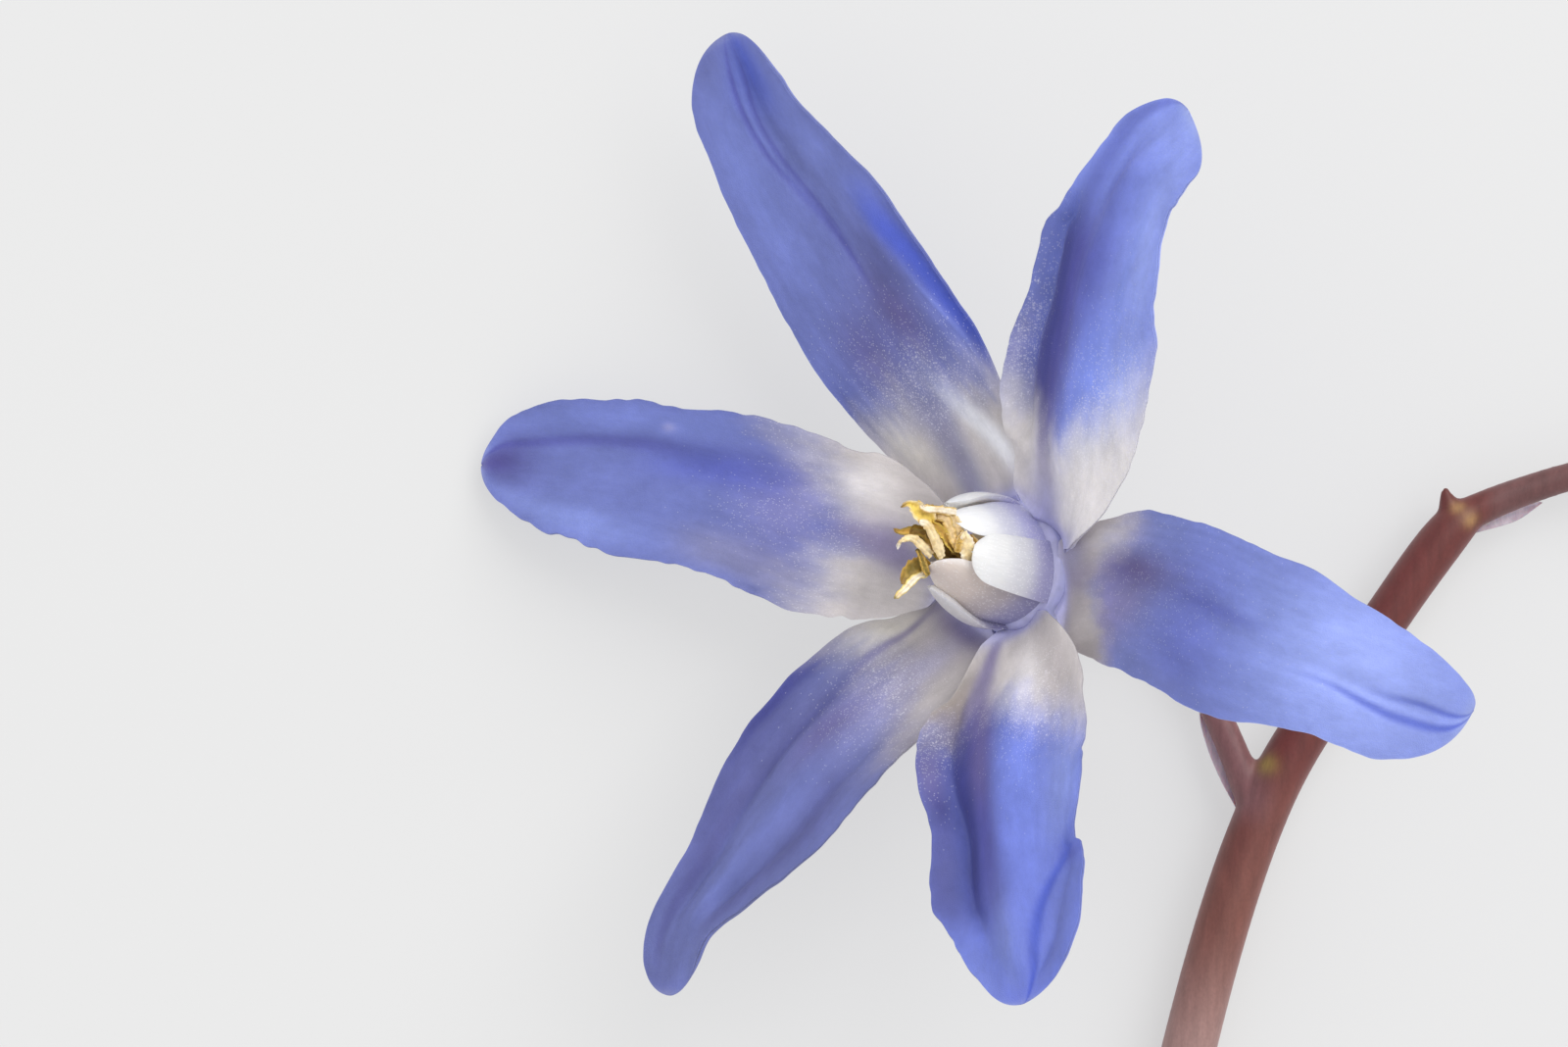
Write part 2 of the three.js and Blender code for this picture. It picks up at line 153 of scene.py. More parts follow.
# Where a petal goes down into the tube it takes the throat's colour.
THROAT_TINT = "#bbbae0"
THROAT_RIM = "#b0b1da"
THROAT_TINT_ENDS = (-0.05, 0.03)
TUBE_OUTSIDE = "#958ca6"
# Inside, the tube is a pale gold, lightened as painted light that fills the gap among the anthers.
TUBE_INSIDE = "#bda682"


def spot(at, size, tint, amount):
    """A soft round mark on a petal, from its middle and how far it spreads along and across."""
    return {"at": at, "size": size, "tint": tint, "amount": amount}


def band(path, wide, tint, amount, deep=0.0):
    """A soft band that follows a path. wide is its spread across, at its start and its end."""
    return {"path": path, "wide": wide, "tint": tint, "amount": amount, "deep": deep}


def fold(at, wide, deep, span, sharp=False, fade=FOLD_FADE_OUT):
    """A long crease or ridge. at is its place across, and span its place along, at its two ends."""
    return {"at": at, "wide": wide, "deep": deep, "span": span, "sharp": sharp, "fade": fade}


# The petals' tints: blues and violets, and then the pale and dull ones of their feet.
INK = "#2f3280"
PURPLE = "#3c2c78"
PANSY = "#46459a"
ROYAL = "#3c50b6"
IRIS = "#5059b0"
DUSK = "#4c4e88"
SLATE = "#5f669f"
HYACINTH = "#6872b2"
CORNFLOWER = "#7380c7"
AZURE = "#7588dc"
BELLFLOWER = "#8190de"
DELFT = "#6775c4"
PERIWINKLE = "#7f8dd0"
SKY = "#a2b2f4"
WISTERIA = "#8b85b6"
MAUVE = "#7c739c"
PLUM = "#5c5288"
SMOKE = "#8080a2"
LILAC = "#a5a3ca"
FROST = "#f0f1f6"
PEARL = "#e2dedf"
ASH = "#cbc5c4"
PEBBLE = "#afa8a9"
CREAM = "#ebe7de"
DUN = "#8c8179"

# Each petal's stations, from the throat to its tip, in the flower's own frame: out from the axis, up
# along it and sideways. left and right are half widths, seen by someone who stands on the axis and
# looks out along the petal. Places on a petal are shares: along it from 0 to 1, and across it from -1
# at the right edge to 1 at the left one. ruffle is how far the edges wave, channel how far they stand
# up above the middle, and roll turns the petal about its own length, in degrees. A sharp fold has a
# narrow bottom. A corner is where a flap's edge stands out: side is 1 on the left and -1 on the right,
# and over the share long it swells, from the throat's side, or from the tip's side where that is
# negative. Over the share fall it is gone again. The foot is the pale part, and reach is how far it
# goes at the right edge, in the middle and at the left edge. marks colour the blade, foot_marks the
# foot, and the last list is where the skin carries painted glints, white dots of painted highlight,
# as a place, a size and an amount. Some marks are painted shade or painted highlight, as said beside
# them.
PETAL_LEFT = {
    "name": "petal_left",
    "node": "inner_tepal_left",
    "turn": 177,
    "out": [2.3, 3.5, 5.0, 6.9, 9.0, 11.1, 13.3, 15.5],
    "up": [0.5, 2.0, 3.2, 4.2, 5.0, 5.7, 6.3, 6.75],
    "sway": [0.1, -0.1, -0.2, -0.5, -0.6, -0.5, -0.3, 0],
    "left": [1.6, 2.3, 2.55, 2.6, 2.65, 2.45, 2.35, 2.38, 2.4, 2.15, 1.92, 1.58, 1.4],
    "right": [1.3, 2.0, 2.4, 2.5, 2.6, 2.58, 2.5, 2.33, 2.28, 2.2, 2.05, 1.8, 1.5],
    "ruffle": 0.07,
    "channel": 0.45,
    "folds": [
        fold((-0.25, -0.5), 0.18, -0.12, (0.3, 1.05)),
        fold((0.1, 0.3), 0.3, 0.12, (0.2, 0.9)),
    ],
    "colour": HYACINTH,
    "marks": [
        band([(0.22, 0.7), (0.55, 0.7)], (0.28, 0.25), SMOKE, 0.7),
        band([(0.27, 0.97), (0.42, 0.97)], (0.1, 0.1), SLATE, 0.6),
        spot((0.8, 0.72), (0.17, 0.25), PERIWINKLE, 0.8),
        band([(0.5, -0.8), (1.0, -0.75)], (0.22, 0.24), CORNFLOWER, 0.75),
        spot((0.36, -0.05), (0.1, 0.6), WISTERIA, 0.45),
        spot((0.5, -0.3), (0.1, 0.2), IRIS, 0.6),
        spot((0.32, -0.3), (0.05, 0.25), LILAC, 0.4),
        spot((0.61, -0.72), (0.012, 0.06), LILAC, 0.45),
        spot((0.97, -0.12), (0.08, 0.5), PURPLE, 0.7),
        spot((0.93, 0.97), (0.08, 0.1), HYACINTH, 0.6),
        band([(0.3, -0.4), (0.45, -0.34), (0.65, -0.28)], (0.26, 0.26), IRIS, 0.4),
        # The dark line sunk along the groove is partly the midrib's own colour and partly painted shade in
        # the groove.
        band([(0.6, -0.46), (0.8, -0.45), (0.87, -0.4), (0.93, -0.45), (1.0, -0.6)],
             (0.1, 0.07), PANSY, 0.5, -0.04),
    ],
    "reach": (0.38, 0.22, 0.29),
    "foot": ASH,
    "foot_marks": [
        # The pebble spot is a painted shadow cast by the anthers, and the pearl spot below it is the foot's
        # pale colour with a painted highlight.
        spot((0.07, 0.45), (0.05, 0.2), PEBBLE, 0.4),
        spot((0.21, -0.6), (0.08, 0.22), PEARL, 0.8),
        spot((0.08, -0.8), (0.06, 0.3), PEBBLE, 0.6),
        band([(0.0, 0.25), (0.1, 0.14), (0.2, 0.0), (0.45, -0.03)], (0.26, 0.14), MAUVE, 0.8),
        spot((0.12, -0.1), (0.06, 0.25), MAUVE, 0.6),
    ],
    "frost": [((0.36, 0.0), (0.12, 0.4), 0.25)],
}
PETAL_UPPER_RIGHT = {
    "name": "petal_upper_right",
    "node": "inner_tepal_upper_right",
    "turn": 61,
    "out": [2.3, 3.8, 5.7, 7.6, 9.6, 11.6, 13.7, 15.85],
    "up": [0.5, 1.6, 2.4, 3.1, 3.7, 4.2, 4.6, 4.9],
    "sway": [-0.9, -1.0, -0.6, -0.1, 0.4, 0.6, 0.5, -0.2],
    "left": [1.8, 2.2, 2.6, 2.8, 2.75, 2.5, 2.15, 2.05, 1.9, 1.52, 1.28, 1.3, 1.3],
    "right": [1.05, 1.5, 2.1, 2.6, 2.95, 3.05, 3.05, 2.8, 2.55, 2.25, 2.0, 2.05, 2.9],
    "corners": [{"side": 1, "at": 0.63, "out": 0.22, "long": 0.05, "fall": 0.04}],
    "ruffle": 0.05,
    "channel": 0.3,
    "folds": [
        fold((0.7, 0.84), 0.17, -0.7, (0.08, 0.76), sharp=True),
        fold((0.0, -0.1), 0.26, 0.4, (0.1, 0.95)),
    ],
    "colour": BELLFLOWER,
    "marks": [
        # The pansy, plum and ink bands from the ridge to the crease are partly the petal's own deep blue and
        # partly painted shade of the slope that faces away from the light. The ink band beside the crease is
        # painted shade.
        band([(0.1, 0.42), (0.3, 0.38), (0.5, 0.28), (0.7, 0.2)], (0.32, 0.5), PANSY, 0.95),
        band([(0.1, 0.45), (0.36, 0.5)], (0.2, 0.2), PLUM, 0.6),
        band([(0.16, 0.54), (0.5, 0.54), (0.68, 0.62)], (0.26, 0.2), INK, 0.9),
        band([(0.2, 0.95), (0.66, 0.98)], (0.18, 0.16), HYACINTH, 0.9),
        spot((0.36, 0.94), (0.1, 0.12), LILAC, 0.6),
        # The azure band along the ridge is partly painted light, where the ridge faces the light.
        band([(0.22, -0.22), (0.5, -0.26)], (0.18, 0.16), AZURE, 0.7),
        spot((0.34, -0.62), (0.13, 0.28), SKY, 0.8),
        spot((0.21, -0.4), (0.06, 0.25), FROST, 0.7),
        band([(0.5, -0.42), (0.78, -0.58)], (0.06, 0.06), AZURE, 0.5),
        spot((0.72, -0.75), (0.2, 0.28), SKY, 0.5),
        spot((0.6, -0.05), (0.12, 0.22), IRIS, 0.45),
        spot((0.78, 0.06), (0.12, 0.34), IRIS, 0.7),
        band([(0.68, 0.62), (1.0, 0.85)], (0.26, 0.16), IRIS, 0.5),
        spot((1.0, -0.2), (0.1, 0.7), SKY, 0.4),
    ],
    "reach": (0.42, 0.21, 0.28),
    "foot": PEARL,
    "foot_marks": [
        spot((0.1, 0.8), (0.2, 0.3), ASH, 0.9),
        spot((0.0, 0.3), (0.15, 0.35), LILAC, 0.9),
        band([(0.08, 0.35), (0.5, 0.36)], (0.18, 0.26), MAUVE, 0.55),
        spot((0.0, -0.8), (0.05, 0.3), LILAC, 0.5),
    ],
    "frost": [((0.26, -0.6), (0.2, 0.45), 1.0), ((0.4, 0.88), (0.16, 0.2), 1.0)],
}
PETAL_BOTTOM = {
    "name": "petal_bottom",
    "node": "inner_tepal_bottom",
    "turn": 303,
    "out": [2.3, 3.8, 5.4, 7.1, 9.0, 10.9, 12.8, 14.7],
    "up": [0.5, 1.7, 2.9, 4.0, 4.9, 5.6, 6.4, 7.0],
    "sway": [-0.2, 0.1, 0, -0.2, -0.2, -0.2, 0, 0],
    "left": [1.2, 1.7, 2.15, 2.43, 2.74, 2.86, 2.9, 2.6, 2.4, 2.58, 2.3, 1.85, 1.6],
    "right": [1.2, 2.1, 2.7, 2.9, 2.86, 2.53, 2.17, 2.12, 2.3, 2.0, 1.65, 1.35, 1.2],
    "corners": [
        {"side": 1, "at": 0.675, "out": 0.16, "long": -0.06, "fall": 0.014},
        {"side": -1, "at": 0.71, "out": 0.1, "long": 0.04, "fall": 0.03},
    ],
    "ruffle": 0.045,
    "roll": -15,
    "channel": 0.3,
    "folds": [
        fold((-0.8, -0.46), 0.18, -0.7, (0.08, 0.92), sharp=True, fade=0.32),
        fold((0.12, 0.05), 0.28, 0.4, (0.1, 0.98)),
        fold((0.95, 0.3), 0.18, -0.3, (0.62, 1.0), sharp=True),
    ],
    "colour": DELFT,
    "marks": [
        # The pansy, plum and ink bands between the left crease and the ridge are partly the petal's own deep
        # blue and partly painted shade of the slope that faces away from the light.
        band([(0.1, -0.48), (0.25, -0.38), (0.4, -0.28), (0.55, -0.22), (0.78, -0.18)],
             (0.24, 0.26), PANSY, 0.9),
        band([(0.1, -0.5), (0.2, -0.42), (0.3, -0.34), (0.48, -0.26)], (0.2, 0.22), PLUM, 0.75),
        band([(0.16, -0.6), (0.3, -0.55), (0.5, -0.5), (0.74, -0.45)], (0.22, 0.14), INK, 0.9),
        band([(0.3, -0.9), (0.75, -0.84)], (0.18, 0.28), DUSK, 0.85),
        spot((0.45, -0.84), (0.05, 0.08), INK, 0.6),
        spot((0.42, 0.3), (0.16, 0.2), AZURE, 0.4),
        spot((0.5, 0.78), (0.15, 0.25), PERIWINKLE, 0.9),
        spot((0.84, -0.15), (0.14, 0.24), PERIWINKLE, 0.5),
        spot((1.0, 0.0), (0.06, 0.8), IRIS, 0.3),
        spot((0.38, -0.88), (0.07, 0.14), MAUVE, 0.5),
        spot((0.95, -0.85), (0.12, 0.3), CORNFLOWER, 0.5),
        spot((0.69, 0.85), (0.03, 0.18), IRIS, 0.7),
        spot((0.85, 0.65), (0.1, 0.16), HYACINTH, 0.6),
        band([(0.66, 0.95), (0.7, 0.7), (0.76, 0.48), (0.85, 0.3), (1.0, 0.27)],
             (0.07, 0.07), ROYAL, 0.75, -0.06),
    ],
    "reach": (0.28, 0.235, 0.36),
    "foot": ASH,
    "foot_marks": [
        spot((0.17, 0.65), (0.16, 0.32), PEBBLE, 0.95),
        spot((0.18, 0.15), (0.12, 0.22), PEARL, 0.9),
        spot((0.21, -0.66), (0.14, 0.18), MAUVE, 0.95),
        spot((0.28, -0.45), (0.09, 0.2), PLUM, 0.9),
        band([(0.05, -0.9), (0.36, -0.86)], (0.22, 0.22), DUN, 0.8),
        band([(0.0, -0.6), (0.12, -0.5), (0.25, -0.4), (0.5, -0.24)], (0.16, 0.2), MAUVE, 0.85),
    ],
    "frost": [((0.2, 0.3), (0.16, 0.4), 0.8), ((0.3, -0.85), (0.12, 0.2), 0.6)],
}
PETAL_UPPER_LEFT = {
    "name": "petal_upper_left",
    "node": "outer_tepal_upper_left",
    "turn": 118,
    "out": [2.3, 3.9, 5.8, 7.8, 9.9, 12.1, 14.3, 16.6],
    "up": [-0.1, 0.7, 2.0, 3.2, 4.4, 5.4, 6.3, 7.1],
    "sway": [-0.2, -0.2, -0.2, -0.1, 0, 0.2, 0.3, 0.1],
    "left": [1.5, 2.05, 2.6, 2.82, 2.88, 2.92, 2.86, 2.67, 2.53, 2.36, 2.17, 2.15, 2.2],
    "right": [1.4, 1.65, 2.0, 2.2, 2.25, 2.22, 2.2, 2.15, 2.24, 1.92, 1.5, 1.3, 1.3],
    "ruffle": 0.03,
    "channel": 0.25,
    "folds": [
        fold((-0.2, 0.1), 0.2, -0.2, (0.45, 1.05)),
        fold((-0.95, -0.95), 0.2, -0.5, (0.2, 0.7)),
    ],
    "colour": HYACINTH,
    "marks": [
        spot((0.42, -0.22), (0.1, 0.34), PLUM, 0.8),
        spot((0.52, -0.5), (0.1, 0.28), DUSK, 0.6),
        spot((0.38, 0.4), (0.09, 0.28), PLUM, 0.6),
        spot((0.75, 0.6), (0.2, 0.3), CORNFLOWER, 0.7),
        spot((0.75, -0.65), (0.2, 0.3), CORNFLOWER, 0.5),
        spot((0.93, -0.22), (0.09, 0.42), ROYAL, 0.8),
        spot((0.97, 0.75), (0.05, 0.4), SLATE, 0.5),
        # The royal band along the rolled right edge is partly painted shade where the edge turns under, and
        # the thin cornflower line beside it is a painted highlight on the roll.
        band([(0.25, -0.99), (0.36, -0.93), (0.49, -0.85), (0.62, -0.72)], (0.12, 0.16), ROYAL, 0.85),
        band([(0.27, -0.86), (0.36, -0.79), (0.47, -0.69)], (0.03, 0.03), CORNFLOWER, 0.5, 0.04),
        band([(0.5, -0.08), (0.6, -0.04), (0.7, 0.08), (0.78, 0.22), (0.9, 0.28), (0.98, 0.22)],
             (0.04, 0.04), PANSY, 0.6, -0.06),
        band([(0.58, -0.12), (0.7, 0.0), (0.78, 0.1), (0.87, 0.12), (0.95, 0.0)],
             (0.035, 0.035), PANSY, 0.5, -0.05),
        band([(0.64, 0.0), (0.75, 0.15), (0.85, 0.19), (0.95, 0.12)], (0.03, 0.03), CORNFLOWER, 0.4),
    ],
    "reach": (0.22, 0.27, 0.25),
    "foot": ASH,
    "foot_marks": [
        # The near white wedge is the foot's own white with a painted highlight on it.
        band([(0.03, -0.75), (0.12, -0.5), (0.25, -0.12), (0.34, 0.0)], (0.22, 0.16), FROST, 0.9),
        band([(0.0, 0.45), (0.08, 0.3), (0.2, 0.2), (0.4, 0.14)], (0.3, 0.18), SMOKE, 0.8),
        spot((0.3, -0.5), (0.06, 0.5), LILAC, 0.6),
        spot((0.2, 0.75), (0.09, 0.24), CREAM, 0.8),
        spot((0.05, 0.85), (0.05, 0.2), PEBBLE, 0.7),
    ],
    "frost": [((0.28, 0.0), (0.14, 0.8), 0.5)],
}
PETAL_LOWER_LEFT = {
    "name": "petal_lower_left",
    "node": "outer_tepal_lower_left",
    "turn": 249,
    "out": [2.3, 3.7, 5.4, 7.1, 9.1, 11.1, 13.2, 15.05],
    "up": [-0.1, 0.9, 2.2, 3.5, 4.5, 5.3, 6.0, 6.5],
    "sway": [-0.4, -0.5, -0.9, -1.1, -1.0, -0.9, -0.9, 0],
    "left": [1.4, 1.5, 1.7, 1.95, 2.19, 2.48, 2.6, 2.45, 2.05, 1.45, 1.08, 1.0, 1.0],
    "right": [1.6, 2.0, 2.4, 2.6, 2.5, 2.34, 2.3, 2.04, 1.7, 1.39, 1.2, 1.32, 1.45],
    "ruffle": 0.025,
    "channel": 0.25,
    "folds": [
        fold((-0.5, -0.4), 0.15, -0.2, (0.2, 0.9)),
        fold((0.1, 0.1), 0.2, 0.15, (0.2, 0.9)),
        fold((0.55, 0.4), 0.15, -0.2, (0.25, 0.85)),
    ],
    "colour": SLATE,
    "marks": [
        band([(0.44, 0.5), (0.55, 0.62), (0.72, 0.6), (0.85, 0.66)], (0.2, 0.2), DUSK, 0.6),
        band([(0.35, -0.8), (0.6, -0.82), (0.8, -0.65)], (0.3, 0.3), DUSK, 0.6),
        spot((0.54, 0.15), (0.14, 0.22), HYACINTH, 0.6),
        spot((0.33, 0.85), (0.09, 0.2), SMOKE, 0.8),
        spot((0.24, 0.05), (0.13, 0.45), LILAC, 0.7),
        spot((0.38, -0.12), (0.1, 0.25), PLUM, 0.6),
        spot((0.75, 0.1), (0.1, 0.3), HYACINTH, 0.7),
        spot((0.95, 0.55), (0.1, 0.45), HYACINTH, 0.5),
        band([(0.28, -0.92), (0.5, -0.94)], (0.12, 0.08), INK, 0.7),
        band([(0.28, -0.5), (0.4, -0.44), (0.52, -0.48), (0.62, -0.56), (0.8, -0.6), (0.92, -0.6)],
             (0.1, 0.13), DUSK, 0.7, -0.05),
    ],
    "reach": (0.26, 0.2, 0.3),
    "foot": PEBBLE,
    "foot_marks": [
        spot((0.15, 0.0), (0.1, 0.3), LILAC, 0.5),
        spot((0.16, 0.6), (0.12, 0.25), ASH, 0.5),
        spot((0.05, 0.9), (0.05, 0.2), DUN, 0.5),
        spot((0.27, 0.5), (0.04, 0.15), DUN, 0.3),
        spot((0.16, -0.87), (0.14, 0.28), CREAM, 0.9),
        # The dark purple strip at the very foot is painted shade, where the petal goes down into the throat.
        spot((0.01, 0.0), (0.045, 0.9), PLUM, 0.8),
        band([(0.03, -0.78), (0.15, -0.6), (0.3, -0.5)], (0.06, 0.06), MAUVE, 0.7),
    ],
    "frost": [((0.25, 0.0), (0.12, 0.5), 0.5)],
}
PETAL_RIGHT = {
    "name": "petal_right",
    "node": "outer_tepal_right",
    "turn": -7,
    "out": [2.3, 3.9, 5.8, 8.1, 10.6, 13.1, 15.0, 16.4],
    "up": [-0.1, 0.6, 1.4, 2.2, 2.6, 2.2, 0.6, -1.5],
    "sway": [-0.2, 0.3, 0.5, 0.6, 0.4, 0.3, 0.1, -0.2],
    "left": [1.5, 1.8, 2.04, 2.38, 2.42, 2.43, 2.47, 2.42, 2.33, 1.92, 1.55, 1.15, 0.95],
    "right": [1.6, 2.05, 2.25, 2.35, 2.47, 2.65, 2.69, 2.6, 2.35, 2.25, 2.36, 2.38, 2.5],
    "ruffle": 0.03,
    "channel": -0.2,
    "folds": [
        fold((-0.1, -0.4), 0.12, -0.15, (0.65, 1.05)),
        fold((0.1, 0.0), 0.25, -0.18, (0.1, 0.6)),
    ],
    "colour": PERIWINKLE,
    "marks": [
        spot((0.28, 0.0), (0.14, 1.6), SLATE, 0.6),
        spot((0.38, -0.55), (0.14, 0.35), CORNFLOWER, 0.7),
        spot((0.46, -0.2), (0.14, 1.3), IRIS, 0.6),
        spot((0.16, 0.3), (0.06, 0.6), MAUVE, 0.5),
        spot((0.17, -0.5), (0.07, 0.6), WISTERIA, 0.85),
        spot((0.25, -0.15), (0.07, 0.4), MAUVE, 0.6),
        spot((0.26, 0.27), (0.12, 0.24), PLUM, 0.9),
        spot((0.22, 0.74), (0.06, 0.2), LILAC, 0.7),
        band([(0.42, 0.1), (0.6, 0.12)], (0.08, 0.08), IRIS, 0.5),
        spot((0.64, 0.9), (0.07, 0.2), HYACINTH, 0.6),
        spot((0.78, 0.0), (0.14, 0.9), SKY, 0.6),
        band([(0.3, -0.9), (0.6, -0.9)], (0.12, 0.12), HYACINTH, 0.5),
        band([(0.74, -0.27), (0.83, -0.4), (0.93, -0.46), (1.0, -0.6)],
             (0.04, 0.08), ROYAL, 0.7, -0.06),
        band([(0.86, -0.22), (0.93, -0.16), (1.0, -0.35)], (0.05, 0.06), ROYAL, 0.6, -0.06),
    ],
    "reach": (0.2, 0.14, 0.22),
    "foot": PEBBLE,
    "foot_marks": [
        spot((0.16, 0.72), (0.06, 0.2), PEARL, 0.7),
        spot((0.06, -0.65), (0.08, 0.25), ASH, 0.7),
        spot((0.03, 0.6), (0.05, 0.3), LILAC, 0.5),
        band([(0.0, 0.2), (0.1, 0.15), (0.3, 0.2)], (0.25, 0.3), MAUVE, 0.4),
    ],
    "frost": [((0.3, 0.0), (0.2, 0.8), 0.15)],
}
PETALS = [PETAL_LEFT, PETAL_UPPER_RIGHT, PETAL_BOTTOM, PETAL_UPPER_LEFT, PETAL_LOWER_LEFT, PETAL_RIGHT]

# A filament's points run from its foot to its tip in the flower's frame. facing is the way that its
# outer face looks, in degrees about the flower's axis. Its three tints give way to each other along
# it, its rim is a pale edge on one side that carries a painted highlight, and the share of its cells
# with painted glints fades from the greater value to the smaller.
FILAMENTS = [
    {"name": "filament_right", "node": "filament_1", "facing": 5,
     "points": [(1.75, 0.0, -0.2), (1.92, 0.04, 1.0), (1.82, 0.12, 2.15), (1.62, 0.2, 3.0),
                (1.33, 0.3, 3.6)],
     "half": [0.95, 0.9, 0.84, 0.75, 0.6], "tints": ("#a9a7cc", "#d2d2d6", "#e4e4e1"), "rim": None},
    {"name": "filament_upper_right", "node": "filament_2", "facing": 50,
     "points": [(0.9, 1.5, -0.2), (0.98, 1.5, 1.2), (0.95, 1.42, 2.3), (0.85, 1.33, 3.2),
                (0.62, 1.25, 3.95)],
     "half": [0.95, 0.85, 0.7, 0.56, 0.42], "tints": (THROAT_TINT, "#d2d3e0", "#f0f0ee"), "rim": None},
    {"name": "filament_upper_left", "node": "filament_3", "facing": 112,
     "points": [(-0.6, 1.7, -0.2), (-0.5, 1.98, 0.9), (-0.35, 2.02, 1.9), (-0.15, 1.88, 2.8),
                (0.05, 1.62, 3.6)],
     "half": [0.8, 0.75, 0.65, 0.55, 0.35], "tints": (THROAT_TINT, "#cfced8", "#e2e2e0"), "rim": "#ececea"},
    {"name": "filament_left", "node": "filament_4", "facing": 182,
     "points": [(-1.75, -0.06, -0.2), (-1.7, -0.06, 1.2), (-1.35, -0.05, 2.4), (-0.9, -0.03, 3.4)],
     "half": [0.8, 0.7, 0.5, 0.25], "tints": ("#8f8db0", "#b5b1bd", "#c9c6cc"), "rim": None},
    {"name": "filament_lower_left", "node": "filament_5", "facing": 250,
     "points": [(-0.6, -1.7, -0.2), (-0.55, -1.85, 1.0), (-0.45, -1.66, 1.9), (-0.3, -1.33, 2.8),
                (-0.15, -0.95, 3.6)],
     "half": [0.95, 0.85, 0.72, 0.55, 0.28], "tints": ("#8885a8", "#cbc8d0", "#d8d5d2"), "rim": "#e6e4e4"},
    # Its greyer, pinkish tints are partly painted shade, as it faces away from the light, and its rim is a
    # painted highlight on its curled upper edge.
    {"name": "filament_lower_right", "node": "filament_6", "facing": 305,
     "points": [(1.0, -1.44, -0.2), (0.94, -1.31, 1.2), (0.84, -0.97, 2.3), (0.68, -0.61, 3.4),
                (0.47, -0.24, 4.4)],
     "half": [0.98, 0.98, 0.9, 0.76, 0.5], "tints": ("#9e9bbd", "#bab1b3", "#dccfc4"), "rim": "#efe6e0"},
]
FILAMENT_GRID = (60, 36)
FILAMENT_THICKNESS = 0.4
FILAMENT_ROUNDING = 0.22
FILAMENT_TIP = 0.7
FILAMENT_LENGTH = 4.0
FILAMENT_MIDDLE_FROM = (0.16, 0.4)
FILAMENT_TIP_FROM = (0.38, 0.62)
# Where a filament's painted highlight lies along its pale edge: across it and along it.
FILAMENT_RIM_ACROSS = (-0.95, -0.6)
FILAMENT_RIM_ALONG = (0.35, 0.6)
# The least and the most share of a filament's cells with painted glints, and the shares of its length over
# which the one gives way to the other.
FILAMENT_GLINT_SHARE = (0.35, 0.75)
FILAMENT_GLINT_FADES = (0.3, 0.7)

# A small blade, such as a filament, an anther's strip or a bract, is thin at its edges and its tip.
THINNEST_STRIP = 0.01
STRIP_EDGE = 0.1
STRIP_THINNING = 0.75
STRIP_THINS = (0.9, 1)
STRIP_FULL_HOLLOW = 0.6

# The anthers have dried to curled strips. Each strip has points in the flower's frame, from the
# filament to its free end, half widths, and its colours along the middle, at the edges and at the
# free end. hollow is how far its edges stand up above its middle, and below it when that is negative.
PALE_CREAM = "#fbecd0"
DEEP_CREAM = "#f4dcac"
TAN = "#e4c590"
GOLD = "#cda653"
YELLOW = "#e6c860"
OLIVE = "#9a8440"
BROWN = "#94743c"


def strip(points, half, hollow, middle, edge, end):
    """One dried strip of an anther, with its shape and its three tints."""
    return {"points": points, "half": half, "hollow": hollow, "middle": middle, "edge": edge, "end": end}


